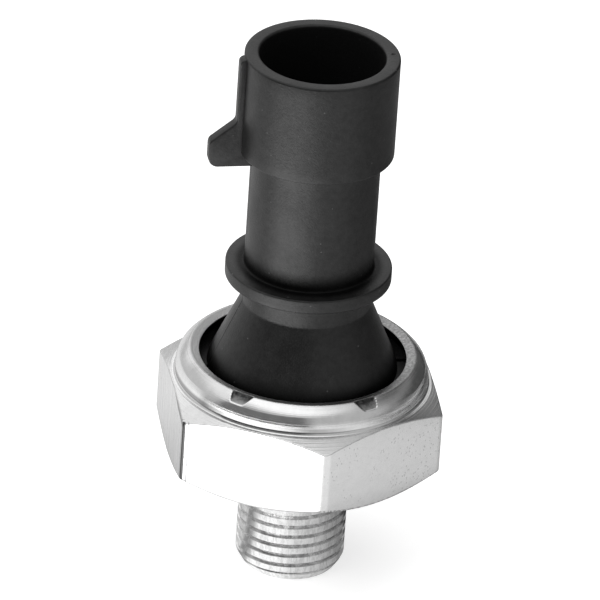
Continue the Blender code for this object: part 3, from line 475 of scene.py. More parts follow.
def make_connector():
    """The moulding's turned form, the latch and rib joined to it, and its slots, vent and notches."""
    angles = column_angles(PLASTIC_COLUMN_STEP, [(side, SEAM_REACH, FINE_STEP) for side in (0, 180)])
    shell = Shell()
    top_pole = shell.vertex(0, 0, WELL_FLOOR_Z)
    low_pole = shell.vertex(0, 0, WEB_RECESS_Z)
    columns = []
    for angle in angles:
        off = math.degrees(abs(math.asin(math.sin(angle))))
        seam = max(0.0, 1 - off / SEAM_HALF_ANGLE)
        column = [shell.vertex(angle, r, z) for r, z in connector_section(seam)]
        column += [top_pole, low_pole]
        column += [shell.vertex(angle, r, z) for r, z in connector_core()]
        columns.append(column)
    columns.append(columns[0])
    shell.skin(columns)
    body = shell.done("connector", PLASTIC_SHARP)
    join(body, [latch_plate()], "UNION")
    low = WEB_Z - CUT_SPARE
    high = WELL_FLOOR_Z + CUT_SPARE
    vent = around(VENT_DISTANCE, VENT_ANGLE)
    slot = rectangle(BLADE_SLOT_NEAR, BLADE_SLOT_FAR, BLADE_SLOT_HALF_WIDTH)
    cut = [
        prism_piece("blade_slot", slot, low, high),
        prism_piece("breather_hole", ring_points(vent, BREATHER_RADIUS, 32), BREATHER_Z, high),
        prism_piece("vent_hole", ring_points(vent, VENT_RADIUS, 24), low, BREATHER_Z + CUT_SPARE),
        rim_dimple(),
    ]
    for side in (-1, 1):
        notch = rectangle(side * CONE_FOOT_RADIUS, side * NOTCH_REACH, NOTCH_HALF_WIDTH)
        cut.append(prism_piece("ledge_notch", notch, LEDGE_Z - NOTCH_DEPTH, LEDGE_Z + NOTCH_DEPTH))
    join(body, cut, "DIFFERENCE")
    return body


def around(distance, angle):
    return distance * math.cos(angle), distance * math.sin(angle)


def rectangle(first, last, half_width):
    low, high = sorted((first, last))
    return [(low, -half_width), (high, -half_width), (high, half_width), (low, half_width)]


def ring_points(centre, radius, count):
    turns = [2 * math.pi * (n + 0.5) / count for n in range(count)]
    return [(centre[0] + radius * math.cos(t), centre[1] + radius * math.sin(t)) for t in turns]


def prism_piece(name, outline, low, high):
    bm = bmesh.new()
    bottom = [bm.verts.new((x * MM, y * MM, low * MM)) for x, y in outline]
    top = [bm.verts.new((x * MM, y * MM, high * MM)) for x, y in outline]
    bm.faces.new(bottom)
    bm.faces.new(top)
    for n in range(len(outline)):
        after = (n + 1) % len(outline)
        bm.faces.new((bottom[n], bottom[after], top[after], top[n]))
    return linked(name, bm)


def linked(name, bm):
    bmesh.ops.recalc_face_normals(bm, faces=bm.faces)
    mesh = bpy.data.meshes.new(name)
    bm.to_mesh(mesh)
    bm.free()
    made = bpy.data.objects.new(name, mesh)
    bpy.context.scene.collection.objects.link(made)
    return made


def rim_dimple():
    """A small round dimple in the rim, where the moulding was fed."""
    bm = bmesh.new()
    bmesh.ops.create_icosphere(bm, subdivisions=2, radius=DIMPLE_RADIUS * MM)
    spot = Vector((*around(DIMPLE_DISTANCE, DIMPLE_ANGLE), RIM_Z + DIMPLE_RISE)) * MM
    bmesh.ops.translate(bm, verts=bm.verts, vec=spot)
    return linked("rim_dimple", bm)


def inset(outline, amount):
    """The outline moved inwards by an even amount."""
    area = sum(a[0] * b[1] - b[0] * a[1] for a, b in zip(outline, outline[1:] + outline[:1]))
    side = 1 if area > 0 else -1
    moved = []
    for n, spot in enumerate(outline):
        into = (Vector(spot) - Vector(outline[n - 1])).normalized()
        out = (Vector(outline[(n + 1) % len(outline)]) - Vector(spot)).normalized()
        normal = Vector((-into.y - out.y, into.x + out.x)) * side
        normal.normalize()
        reach = amount / max(0.5, normal.dot(Vector((-into.y, into.x)) * side))
        moved.append((spot[0] + normal.x * reach, spot[1] + normal.y * reach))
    return moved


def corner_arc(corner, radius, start, end, steps, side=(-1, -1)):
    """An arc that rounds a corner of an outline. Its centre lies radius away on the named side."""
    centre = (corner[0] + side[0] * radius, corner[1] + side[1] * radius)
    return arc(centre, radius, start, end, steps)


def latch_outline():
    """Side view of the plate, as distances from the axis and heights."""
    root = NECK_RADIUS - WALL_OVERLAP
    wall = SOCKET_RADIUS - WALL_OVERLAP
    outline = [(root, LATCH_BOTTOM)]
    outline += corner_arc((LATCH_REACH, LATCH_BOTTOM), LATCH_FOOT_ROUND, 270, 360, 10, (-1, 1))
    outline += corner_arc((LATCH_REACH, LATCH_END_TOP), LATCH_TIP_ROUND, 0, 60, 7)
    outline += corner_arc((RIB_RADIUS, LATCH_RAMP_TOP), LATCH_RAMP_ROUND, 240, 180, 8, (1, 1))
    outline += corner_arc((RIB_RADIUS, RIB_TOP), RIB_ROUND, 0, 90, 8)
    outline += [(wall, RIB_TOP), (wall, SOCKET_Z), (root, SOCKET_Z)]
    return outline


def latch_plate():
    """Rib and latch in one plate on the side that points along -X, with all its edges a little rounded."""
    outline = latch_outline()
    levels = []
    for degrees in (90, 60, 30, 0):
        turn = math.radians(degrees)
        y = LATCH_EDGE_ROUND * (1 - math.sin(turn)) - LATCH_HALF_WIDTH
        levels.append((y, LATCH_EDGE_ROUND * (1 - math.cos(turn))))
    levels += [(-y, amount) for y, amount in reversed(levels)]
    bm = bmesh.new()
    loops = []
    for y, amount in levels:
        moved = inset(outline, amount) if amount else outline
        loops.append([bm.verts.new((-u * MM, y * MM, v * MM)) for u, v in moved])
    for first, second in zip(loops, loops[1:]):
        for n in range(len(outline)):
            after = (n + 1) % len(outline)
            bm.faces.new((first[n], first[after], second[after], second[n]))
    bm.faces.new(loops[0])
    bm.faces.new(loops[-1])
    return linked("latch_plate", bm)


def join(body, tools, operation):
    """Apply Booleans to a body and remove the tools."""
    for tool in tools:
        change = body.modifiers.new(tool.name, "BOOLEAN")
        change.operation = operation
        change.solver = "EXACT"
        change.object = tool
    bpy.context.view_layer.update()
    done = bpy.data.meshes.new_from_object(body.evaluated_get(bpy.context.evaluated_depsgraph_get()))
    body.modifiers.clear()
    old = body.data
    done.name = old.name
    body.data = done
    bpy.data.meshes.remove(old)
    for tool in tools:
        mesh = tool.data
        bpy.data.objects.remove(tool)
        bpy.data.meshes.remove(mesh)
    body.data.shade_smooth()
    body.data.set_sharp_from_angle(angle=math.radians(PLASTIC_SHARP))


class Nodes:
    """Short ways to add shader nodes. A value is a number, a colour, a vector or another node's output."""

    def __init__(self, owner):
        owner.use_nodes = True
        self.tree = owner.node_tree
        self.tree.nodes.clear()

    def add(self, kind, **settings):
        node = self.tree.nodes.new(kind)
        for name, value in settings.items():
            setattr(node, name, value)
        return node

    def feed(self, socket, value):
        if isinstance(value, bpy.types.NodeSocket):
            self.tree.links.new(value, socket)
        else:
            socket.default_value = value

    def fill(self, node, *values):
        """Feed a node's first inputs in their order."""
        for socket, value in zip(node.inputs, values):
            self.feed(socket, value)
        return node.outputs[0]

    def named(self, kind, entries):
        """A node with some of its inputs fed by name."""
        node = self.add(kind)
        for name, value in entries.items():
            self.feed(node.inputs[name], value)
        return node

    def math(self, operation, *values):
        return self.fill(self.add("ShaderNodeMath", operation=operation), *values)

    def times(self, first, *others):
        """The product of two or more values."""
        for other in others:
            first = self.math("MULTIPLY", first, other)
        return first

    def vector(self, operation, *values):
        return self.fill(self.add("ShaderNodeVectorMath", operation=operation), *values)

    def dot(self, first, second):
        node = self.add("ShaderNodeVectorMath", operation="DOT_PRODUCT")
        self.fill(node, first, second)
        return node.outputs["Value"]

    def split(self, value):
        """The three parts of a vector."""
        node = self.add("ShaderNodeSeparateXYZ")
        self.fill(node, value)
        return node.outputs

    def smooth(self, value, low, high, to_low=0.0, to_high=1.0):
        node = self.add("ShaderNodeMapRange", interpolation_type="SMOOTHSTEP")
        return self.fill(node, value, low, high, to_low, to_high)

    def band(self, value, low, low_full, high_full, high):
        """1 from low_full to high_full, easing to 0 at low and at high."""
        return self.times(self.smooth(value, low, low_full), self.smooth(value, high, high_full))

    def linear(self, value, low, high, to_low, to_high):
        return self.fill(self.add("ShaderNodeMapRange"), value, low, high, to_low, to_high)

    def ramp(self, share, start, end):
        """The number start where the share is 0, and end where it is 1."""
        return self.linear(share, 0.0, 1.0, start, end)

    def mix(self, share, first, second):
        """Mix two grey numbers."""
        node = self.add("ShaderNodeMix", data_type="FLOAT")
        self.feed(node.inputs[0], share)
        self.feed(node.inputs[2], first)
        self.feed(node.inputs[3], second)
        return node.outputs[0]

    def colour(self, share, first, second):
        node = self.add("ShaderNodeMix", data_type="RGBA")
        self.feed(node.inputs[0], share)
        self.feed(node.inputs[6], (*first, 1.0))
        self.feed(node.inputs[7], (*second, 1.0))
        return node.outputs[2]

    def mix_shaders(self, share, first, second):
        return self.fill(self.add("ShaderNodeMixShader"), share, first, second)

    def millimetres(self):
        """The piece's own coordinates, in millimetres."""
        place = self.add("ShaderNodeTexCoord").outputs["Object"]
        return self.vector("MULTIPLY", place, (1 / MM, 1 / MM, 1 / MM))

    def noise(self, place, scale, detail=2.0, rough=0.5, stretch=None):
        if stretch:
            place = self.vector("MULTIPLY", place, stretch)
        entries = {"Vector": place, "Scale": scale, "Detail": detail, "Roughness": rough}
        return self.named("ShaderNodeTexNoise", entries).outputs["Fac"]

    def cells(self, place, scale):
        """Distance to the nearest of many scattered points."""
        return self.named("ShaderNodeTexVoronoi", {"Vector": place, "Scale": scale}).outputs["Distance"]

    def bump(self, height, depth, normal=None):
        """A bump of a depth in millimetres, on top of an earlier one."""
        entries = {"Strength": 1.0, "Distance": depth * MM, "Height": height}
        if normal:
            entries["Normal"] = normal
        return self.named("ShaderNodeBump", entries).outputs[0]

    def grey(self, value):
        return self.fill(self.add("ShaderNodeCombineColor"), value, value, value)

    def finish(self, colour, roughness, normal, metallic=0.0):
        entries = {"Base Color": colour, "Roughness": roughness, "Metallic": metallic, "Normal": normal}
        shader = self.named("ShaderNodeBsdfPrincipled", entries)
        self.output("ShaderNodeOutputMaterial", shader.outputs[0])
        return shader

    def output(self, kind, shader):
        self.tree.links.new(shader, self.add(kind).inputs[0])


def material(name):
    made = bpy.data.materials.new(name)
    return made, Nodes(made)


def radius_and_height(n, place):
    x, y, z = n.split(place)
    return n.math("SQRT", n.math("ADD", n.times(x, x), n.times(y, y))), z


def ring_noise(n, r, z, scale, detail, rough):
    """Noise that is even round the axis, as a lathe leaves it."""
    return n.noise(n.fill(n.add("ShaderNodeCombineXYZ"), r, z), scale, detail, rough)


def along(n, place, degrees):
    """Distance from the axis in a level direction of the part."""
    turn = math.radians(degrees)
    return n.dot(place, (math.cos(turn), math.sin(turn), 0.0))


def lip_height(n, r):
    """Height of the lip's bevel at a distance from the axis, as a curve through three of its points."""
    lip = lip_path()
    spots = [min(lip, key=lambda point: abs(point[0] - wanted)) for wanted in (10.2, 10.8, 11.4)]
    height = 0.0
    for near, level in spots:
        others = [spot[0] for spot in spots if spot[0] != near]
        term = n.times(n.math("SUBTRACT", r, others[0]), n.math("SUBTRACT", r, others[1]))
        share = level / ((near - others[0]) * (near - others[1]))
        height = n.math("MULTIPLY_ADD", term, share, height)
    return height


def hexagon_distance(n, place):
    """Distance from the axis measured square to the nearest flat, and the same for the next flat."""
    nearest, second, third = [n.math("ABSOLUTE", along(n, place, degrees)) for degrees in (0, 60, 120)]
    low = n.math("MINIMUM", nearest, second)
    nearest = n.math("MAXIMUM", nearest, second)
    second = n.math("MAXIMUM", low, n.math("MINIMUM", nearest, third))
    return n.math("MAXIMUM", nearest, third), second


class SteelSpot:
    """A spot of the steel as its material sees it: its place, the way it faces, the pits, lines and mottle
    on it, and the shade painted on it.
    """

    def __init__(self, n):
        self.n = n
        self.place = n.millimetres()
        self.r, self.z = radius_and_height(n, self.place)
        self.facing = n.add("ShaderNodeTexCoord").outputs["Normal"]
        facing_up = n.dot(self.facing, (0.0, 0.0, 1.0))
        self.flat_distance, self.next_distance = hexagon_distance(n, self.place)
        self.blotches = n.noise(self.place, 1.3, 4.0, 0.65)
        self.grain = n.noise(self.place, 4.0, 3.0, 0.65)
        upright = n.smooth(n.math("ABSOLUTE", facing_up), 0.4, 0.2)
        self.flats = n.times(self.near_flat(self.flat_distance, 0.3, 0.22), upright)
        self.left_flat = self.near_flat(self.along(LEFT_FLAT), 0.1, 0.02)
        self.front_flat = self.near_flat(self.along(FRONT_FLAT), 0.15, 0.05)
        self.right_flat = self.near_flat(self.along(RIGHT_FLAT), 0.1, 0.02)
        self.left_corner = self.along(LEFT_CORNER)
        self.rough_side = n.smooth(self.along(ROUGH_SIDE), 3.72, 12.4)
        outside_lip = n.smooth(self.r, CHAMFER_START - 0.2, CHAMFER_START)
        self.on_top = n.times(n.smooth(facing_up, 0.5, 0.7), outside_lip)
        inside_lip = n.smooth(self.r, CUP_RADIUS + 0.1, CUP_RADIUS - 0.1)
        self.end_face = n.times(inside_lip, n.smooth(self.z, LIP_TOP - 0.5, LIP_TOP - 0.4))
        self.pits = self.pit_marks()
        self.pressed = self.nick_faces()

    def along(self, degrees):
        return along(self.n, self.place, degrees)

    def near_flat(self, distance, start, full):
        """0 at start inside the flats' distance from the axis, easing to 1 at full inside it."""
        return self.n.smooth(distance, HEX_FLAT_RADIUS - start, HEX_FLAT_RADIUS - full)

    def pit_marks(self):
        """Small pits in patches of the flats, more of them on the rough side."""
        clouds = self.n.noise(self.place, 0.35, 3.0, 0.55)
        patches = self.n.math("MULTIPLY_ADD", self.rough_side, 0.14, clouds)
        dots = self.n.smooth(self.n.cells(self.place, 3.1), 0.28, 0.1)
        return self.n.times(dots, self.n.smooth(patches, 0.46, 0.6), self.flats)

    def nick_faces(self):
        """The nicks' pressed faces, which lie under the lip's bevel."""
        n = self.n
        under_bevel = n.smooth(n.math("SUBTRACT", self.z, lip_height(n, self.r)), -0.02, -0.08)
        inner = n.smooth(self.r, NICK_EDGE_RADIUS - 0.05, NICK_EDGE_RADIUS + 0.02)
        outer = n.smooth(self.r, LIP_RADIUS - 0.15, LIP_RADIUS - 0.25)
        return n.times(under_bevel, inner, outer, n.smooth(self.z, LIP_TOP - 1.2, LIP_TOP - 1.05))

    def shaded_nick_faces(self):
        """The nicks' faces that get painted shade: all of them, apart from those that face the light from
        the left.
        """
        n = self.n
        leftward = n.smooth(along(n, self.facing, LEFT_SIDE), 0.45, 0.75)
        lit = n.times(leftward, n.smooth(self.along(RIGHT_SIDE), 0.0, 1.0))
        return n.times(self.pressed, n.math("SUBTRACT", 1.0, lit))

    def worn_stud(self):
        mottle = self.n.noise(self.place, 2.2, 5.0, 0.75, (1.0, 1.0, 0.35))
        below_hexagon = self.n.smooth(self.z, HEX_BOTTOM - 0.2, HEX_BOTTOM - 0.4)
        side = self.n.smooth(self.r, RELIEF_RADIUS - 0.4, RELIEF_RADIUS - 0.2)
        return self.n.times(below_hexagon, side, self.n.smooth(mottle, 0.58, 0.4))

    def corner_lines(self):
        """A dark line and a fainter one beside it, along the left front corner."""
        n = self.n
        middle = HEX_FLAT_RADIUS - 0.49
        second = n.band(self.next_distance, middle - 0.09, middle - 0.03, middle + 0.03, middle + 0.09)
        lines = n.math("MAXIMUM", self.near_flat(self.next_distance, 0.28, 0.2), n.times(second, 0.8))
        near_corner = n.smooth(self.left_corner, 12.9, 13.2)
        lines = n.times(lines, near_corner, n.smooth(self.grain, 0.15, 0.3))
        lines = n.times(lines, self.near_flat(self.flat_distance, 0.3, 0.2), n.smooth(self.r, 11.9, 12.0))
        low = HEX_BOTTOM + 0.2
        high = HEX_TOP - 0.6
        return n.times(lines, n.band(self.z, low, low + 0.3, high - 0.2, high))

    def top_edge_shade(self):
        """A dark line of painted shade on the flats along the chamfer, thicker toward the left front corner.
        """
        n = self.n
        share = n.math("DIVIDE", n.math("SUBTRACT", self.r, CHAMFER_START), CHAMFER_REACH)
        curved = n.times(share, share)
        drop = n.math("MULTIPLY_ADD", curved, 1 - CHAMFER_LEAN, n.times(share, CHAMFER_LEAN))
        rise = n.math("MULTIPLY_ADD", drop, HEX_TOP_CHAMFER, n.math("SUBTRACT", self.z, HEX_TOP))
        thick = n.times(self.left_flat, n.smooth(self.left_corner, 11.2, 12.6, 0.0, 0.5))
        line = n.smooth(n.math("ADD", rise, thick), -0.1, -0.04)
        return n.times(self.flats, line, n.ramp(self.right_flat, 1.0, 0.25))

    def low_edge_shade(self):
        """A broken dark line of painted shade along the flats' lower edge."""
        n = self.n
        edge_start = HEX_BOTTOM - HEX_FACE_RADIUS * math.tan(HEX_CHAMFER)
        edge = n.math("MULTIPLY_ADD", self.r, math.tan(HEX_CHAMFER), edge_start)
        line = n.smooth(n.math("SUBTRACT", self.z, edge), 0.2, 0.1)
        broken = n.smooth(self.grain, n.mix(self.front_flat, 0.4, 0.2), n.mix(self.front_flat, 0.6, 0.4))
        return n.times(self.near_flat(self.flat_distance, 0.2, 0.1), line, broken)

    def lip_foot_shade(self):
        """A dark band of painted shade on the lip's wall just over the fillet, on the window's side."""
        n = self.n
        band = n.band(self.z, HEX_TOP + 0.2, HEX_TOP + 0.3, HEX_TOP + 0.65, HEX_TOP + 0.95)
        wall = n.smooth(self.r, LIP_RADIUS - 0.15, LIP_RADIUS - 0.05)
        return n.times(band, wall, n.smooth(self.along(WINDOW_SIDE), 3.0, 9.0))


def steel_shade(n, spot):
    streaks = n.noise(spot.place, 2.6, 3.0, 0.6, (1.0, 1.0, 0.07))
    shade = n.linear(spot.blotches, 0.3, 0.7, 0.86, 0.95)
    shade = n.times(shade, n.mix(spot.left_flat, 1.0, n.linear(streaks, 0.3, 0.7, 0.88, 1.02)))
    # Painted shade: the thread's roots a little darker, as in the shade of its grooves
    thread_root_shade = n.smooth(spot.r, THREAD_ROOT_RADIUS + 0.27, THREAD_ROOT_RADIUS + 0.07)
    other_edges = n.times(spot.near_flat(spot.next_distance, 0.5, 0.05), spot.flats)
    # Real pits and wear on the steel, and painted shade in the thread's roots, along the flats' top and
    # lower edges and at the lip's foot, each with how dark it makes the steel
    marks_and_shade = (
        (spot.pits, 0.84),
        (thread_root_shade, 0.95),
        (spot.worn_stud(), 0.8),
        (spot.top_edge_shade(), n.mix(spot.front_flat, 0.22, 0.1)),
        (spot.low_edge_shade(), n.mix(spot.front_flat, 0.5, 0.55)),
        (spot.lip_foot_shade(), 0.42),
        (other_edges, 0.82),
        (spot.corner_lines(), 0.1),
    )
    for mark, tone in marks_and_shade:
        shade = n.times(shade, n.ramp(mark, 1.0, tone))
    # The lip's end face a little darker, and much darker with speckles on its right side: partly a speckled
    # matte tone, partly painted shade on the side away from the light
    speckled_shaded_side = n.times(spot.end_face, n.smooth(spot.along(RIGHT_SIDE), -3.0, 8.0))
    speckle = n.linear(n.noise(spot.place, 4.5, 3.0, 0.7), 0.35, 0.65, 0.28, 0.62)
    shade = n.times(shade, n.mix(speckled_shaded_side, n.ramp(spot.end_face, 1.0, 0.8), speckle))
    # Painted shade in the nicks: mottled, darkest near the lip's inner edge and lighter toward its outside
    tone = n.smooth(n.noise(spot.place, 2.5, 3.0, 0.6), 0.35, 0.65, 0.1, 0.24)
    tone = n.math("ADD", tone, n.smooth(spot.r, NICK_EDGE_RADIUS + 0.25, LIP_RADIUS - 0.4, 0.0, 0.34))
    return n.times(shade, n.mix(spot.shaded_nick_faces(), 1.0, tone))


def steel_roughness(n, spot):
    rough = n.linear(spot.blotches, 0.3, 0.7, 0.12, 0.2)
    for mask, more in ((spot.end_face, 0.22), (spot.flats, 0.04), (spot.pressed, 0.2), (spot.on_top, 0.03)):
        rough = n.math("MULTIPLY_ADD", mask, more, rough)
    return rough


def steel_relief(n, spot):
    """The chamfer's tilt, the lathe's rings, the flats' peel and pits, and the lip's matte end face."""
    normal = n.bump(n.times(n.math("SUBTRACT", CHAMFER_START, spot.r), spot.on_top), CHAMFER_TILT)
    turned = n.math("SUBTRACT", 1.0, spot.flats)
    rings = ring_noise(n, spot.r, spot.z, 4.0, 4.0, 0.75)
    rings = n.times(rings, turned, n.math("MULTIPLY_ADD", spot.on_top, 1.2, 1.0))
    normal = n.bump(rings, RING_DEPTH, normal)
    peel = n.times(spot.grain, spot.flats, n.ramp(spot.rough_side, 0.25, 1.0))
    normal = n.bump(n.math("SUBTRACT", peel, spot.pits), PEEL_DEPTH, normal)
    matte = n.times(n.noise(spot.place, 6.0, 2.0, 0.6), spot.end_face)
    return n.bump(matte, MATTE_DEPTH, normal)


def zinc_steel():
    """Bright zinc on turned and milled steel."""
    made, n = material("zinc_plated_steel")
    spot = SteelSpot(n)
    shade = n.grey(steel_shade(n, spot))
    n.finish(shade, steel_roughness(n, spot), steel_relief(n, spot), metallic=1.0)
    return made


def black_plastic():
    """Glass-filled black plastic: faint flow clouds, fine grain, scratches and a few pale specks, with
    painted shade in the crevices at the neck's and cone's feet and in the deep well.
    """
    made, n = material("black_plastic")
    place = n.millimetres()
    r, z = radius_and_height(n, place)
    clouds = n.noise(place, 0.4, 4.0, 0.6)
    grain = n.noise(place, 5.0, 4.0, 0.7)
    mottle = n.noise(place, 1.6, 5.0, 0.7)
    scratches = n.smooth(n.noise(place, 1.0, 2.0, 0.5, (6.0, 6.0, 0.5)), 0.68, 0.74)
    specks = n.smooth(n.cells(place, 0.7), 0.06, 0.035)
    # Painted shade in the deep well under the socket's floor: nearly black, duller and with little
    # reflection
    in_bore = n.smooth(r, SOCKET_BORE_RADIUS + 0.08, SOCKET_BORE_RADIUS - 0.02)
    inside = n.times(in_bore, n.smooth(z, SOCKET_FLOOR_Z - 0.8, SOCKET_FLOOR_Z - 0.3))
    # Painted shade in the crevices at the neck's foot over the collar and at the cone's foot: darker colour
    # and weaker reflection
    over_collar = n.band(z, COLLAR_TOP - 0.2, COLLAR_TOP - 0.05, COLLAR_TOP + 0.4, COLLAR_TOP + 2.1)
    neck_foot_shade = n.times(over_collar, n.smooth(r, NECK_RADIUS + 1.2, NECK_RADIUS + 0.4))
    cone_foot_shade = n.times(n.smooth(z, CONE_Z + 1.7, CONE_Z), n.smooth(r, BASE_RADIUS, CONE_FOOT_RADIUS + 0.25))
    crevice_shade = n.math("MAXIMUM", neck_foot_shade, cone_foot_shade)
    shade = n.linear(clouds, 0.3, 0.7, 0.005, 0.008)
    shade = n.math("MULTIPLY_ADD", specks, 0.08, shade)
    shade = n.math("MULTIPLY_ADD", scratches, 0.006, shade)
    shade = n.times(n.mix(inside, shade, 0.003), n.ramp(crevice_shade, 1.0, 0.35))
    gloss = n.times(n.ramp(crevice_shade, 0.56, 0.12), n.linear(mottle, 0.3, 0.7, 0.84, 1.16))
    rough = n.mix(inside, n.linear(clouds, 0.3, 0.7, 0.36, 0.44), 0.7)
    shader = n.finish(n.grey(shade), rough, n.bump(grain, GRAIN_DEPTH))
    n.feed(shader.inputs["Specular IOR Level"], n.mix(inside, gloss, 0.15))
    return made


def plain_metal(name, dark, light, rough, ring_scale=4.0):
    """A metal with turning rings or rolled grain, for the pieces inside."""
    made, n = material(name)
    place = n.millimetres()
    r, z = radius_and_height(n, place)
    stains = n.noise(place, 0.6, 4.0, 0.6)
    tone = n.colour(n.smooth(stains, 0.3, 0.7), dark, light)
    roughness = n.linear(stains, 0.3, 0.7, rough, rough + 0.14)
    normal = n.bump(ring_noise(n, r, z, ring_scale, 3.0, 0.7), 0.008)
    normal = n.bump(n.noise(place, 8.0, 2.0, 0.5), 0.004, normal)
    n.finish(tone, roughness, normal, metallic=1.0)
    return made


def plain_solid(name, dark, light, rough, grain_scale=6.0, grain_depth=0.01):
    """A plastic, rubber or compound with clouds of tone and a fine surface."""
    made, n = material(name)
    place = n.millimetres()
    clouds = n.noise(place, 0.7, 4.0, 0.6)
    grain = n.noise(place, grain_scale, 3.0, 0.6)
    tone = n.colour(n.smooth(clouds, 0.3, 0.7), dark, light)
    roughness = n.linear(grain, 0.3, 0.7, rough - 0.06, rough + 0.08)
    n.finish(tone, roughness, n.bump(grain, grain_depth))
    return made


def dress(obj, surface, slot_name):
    obj.data.materials.clear()
    obj.data.materials.append(surface)


def dress_all():
    """Finer pieces for the steel body and the connector, and a material for every other node."""
    steel_body = make_steel_body()
    dress(steel_body, zinc_steel(), "zinc_plated_steel")
    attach(steel_body, "body")
    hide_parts("hex_body")
    connector = make_connector()
    dress(connector, black_plastic(), "black_plastic")
    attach(connector, "body")
    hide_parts("connector_housing")
    dress_inside()


def dress_inside():
    """Materials by nodes, slot, darkest and lightest tone, roughness, and ring or grain scale and depth."""
    steels = ["clamp_ring", "fixed_contact_ring", "pressure_plate"]
    brasses = ["contact_disc", "spring_cup", "terminal_rivet"]
    pads = [f"{side}_contact_{number}" for side in ("fixed", "moving") for number in (1, 2, 3)]
    rubbers = ["diaphragm_gasket", "housing_o_ring"]
    metals = (
        (steels, "plain_steel", (0.42, 0.42, 0.41), (0.56, 0.56, 0.55), 0.3),
        (brasses, "brass", (0.58, 0.43, 0.19), (0.76, 0.6, 0.3), 0.26),
        (pads, "silver_alloy", (0.72, 0.71, 0.68), (0.88, 0.87, 0.85), 0.24),
        (["return_spring"], "spring_wire", (0.3, 0.3, 0.31), (0.46, 0.46, 0.47), 0.26, 7.0),
        (["blade_terminal"], "tinned_brass", (0.6, 0.58, 0.53), (0.76, 0.74, 0.7), 0.28),
    )
    solids = (
        (rubbers, "rubber", (0.012, 0.012, 0.012), (0.024, 0.024, 0.025), 0.66),
        (["diaphragm"], "polyimide_film", (0.42, 0.17, 0.02), (0.58, 0.28, 0.05), 0.24, 2.0, 0.004),
        (["plunger"], "pin_plastic", (0.66, 0.63, 0.56), (0.78, 0.75, 0.69), 0.42),
        (["terminal_seal"], "sealing_compound", (0.03, 0.026, 0.024), (0.06, 0.052, 0.05), 0.24, 1.2, 0.05),
        (["breather"], "porous_plug", (0.6, 0.59, 0.56), (0.86, 0.85, 0.82), 0.8, 9.0, 0.06),
    )
    for make, kinds in ((plain_metal, metals), (plain_solid, solids)):
        for names, slot_name, *looks in kinds:
            surface = make(slot_name, *looks)
            for name in names:
                dress(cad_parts[name], surface, slot_name)


# Studio. Directions are in degrees and turn with the camera, and distances are in metres.
CAMERA_TURN = math.radians(-11.5)
WINDOW_ANGLE = 232
GAP_ANGLE = 193
ROOM_DARK_ANGLE = 238
LEFT_ANGLE = 165
RIGHT_ANGLE = 68
DIM_ANGLE = 15
FAR_RIGHT_ANGLE = 42
BACK_ANGLE = 100
FLOOR_SIZE = 3.0
FLOOR_Z = -0.00002
PAPER_TONE = (0.86, 0.86, 0.86, 1.0)
PAPER_GLOW = 0.6
FLOOR_LEVEL = 0.78
LEAST_FLOOR_LEVEL = 0.05
ROOM_LEVEL = 0.56
LAMP_AIM = Vector((0.0, 0.0, 0.025))
LAMP_SIZE = 0.7


def studio_direction(angle):
    turn = math.radians(angle) + CAMERA_TURN
    return math.cos(turn), math.sin(turn), 0.0


def plateau(n, flat, angle, inner, outer):
    """1 where a level unit vector lies within inner degrees of the angle, easing to 0 at outer degrees."""
    toward = n.dot(flat, studio_direction(angle))
    return n.smooth(toward, math.cos(math.radians(outer)), math.cos(math.radians(inner)))


def lobe(n, flat, angle, width):
    """1 where a level unit vector points along the angle, easing to 0 at width degrees from it."""
    return plateau(n, flat, angle, 0, width)


def floor_level(n):
    """Light that polished surfaces see on the floor, brightest to the front left."""
    place = n.add("ShaderNodeNewGeometry").outputs["Position"]
    level_place = n.vector("MULTIPLY", place, (1.0, 1.0, 0.0))
    flat = n.vector("NORMALIZE", level_place)
    away = n.math("SQRT", n.dot(level_place, level_place))
    far = n.smooth(away, 0.105, 0.15)
    # Painted shadow of the part on the floor round the stud, as polished surfaces see it: the floor darker
    # there and the window dimmer
    stud_shadow = n.smooth(away, 0.038, 0.02)
    stretch = n.band(away, 0.053, 0.062, 0.08, 0.095)
    beyond = n.band(away, 0.05, 0.062, 0.108, 0.125)
    window = n.times(lobe(n, flat, WINDOW_ANGLE, 50), n.ramp(stud_shadow, 2.1, 0.35))
    window = n.math("MULTIPLY_ADD", lobe(n, flat, WINDOW_ANGLE, 110), 0.3, window)
    level = n.math("ADD", FLOOR_LEVEL, n.times(window, n.math("SUBTRACT", 1.0, far)))
    darker = (
        (stud_shadow, 0.3),
        (n.times(lobe(n, flat, DIM_ANGLE, 85), far), 0.4),
        (n.times(lobe(n, flat, DIM_ANGLE, 58), stretch), 0.66),
        (lobe(n, flat, GAP_ANGLE, 18), 0.5),
        (lobe(n, flat, RIGHT_ANGLE, 48), n.ramp(beyond, 0.42, 0.3)),
        (lobe(n, flat, FAR_RIGHT_ANGLE, 90), n.ramp(beyond, 0.24, 0.1)),
    )
    for place_share, amount in darker:
        level = n.math("SUBTRACT", level, n.times(place_share, amount))
    level = n.math("MAXIMUM", level, LEAST_FLOOR_LEVEL)
    front = plateau(n, flat, ROOM_DARK_ANGLE, 38, 48)
    return n.mix(n.times(front, far), level, 0.1)


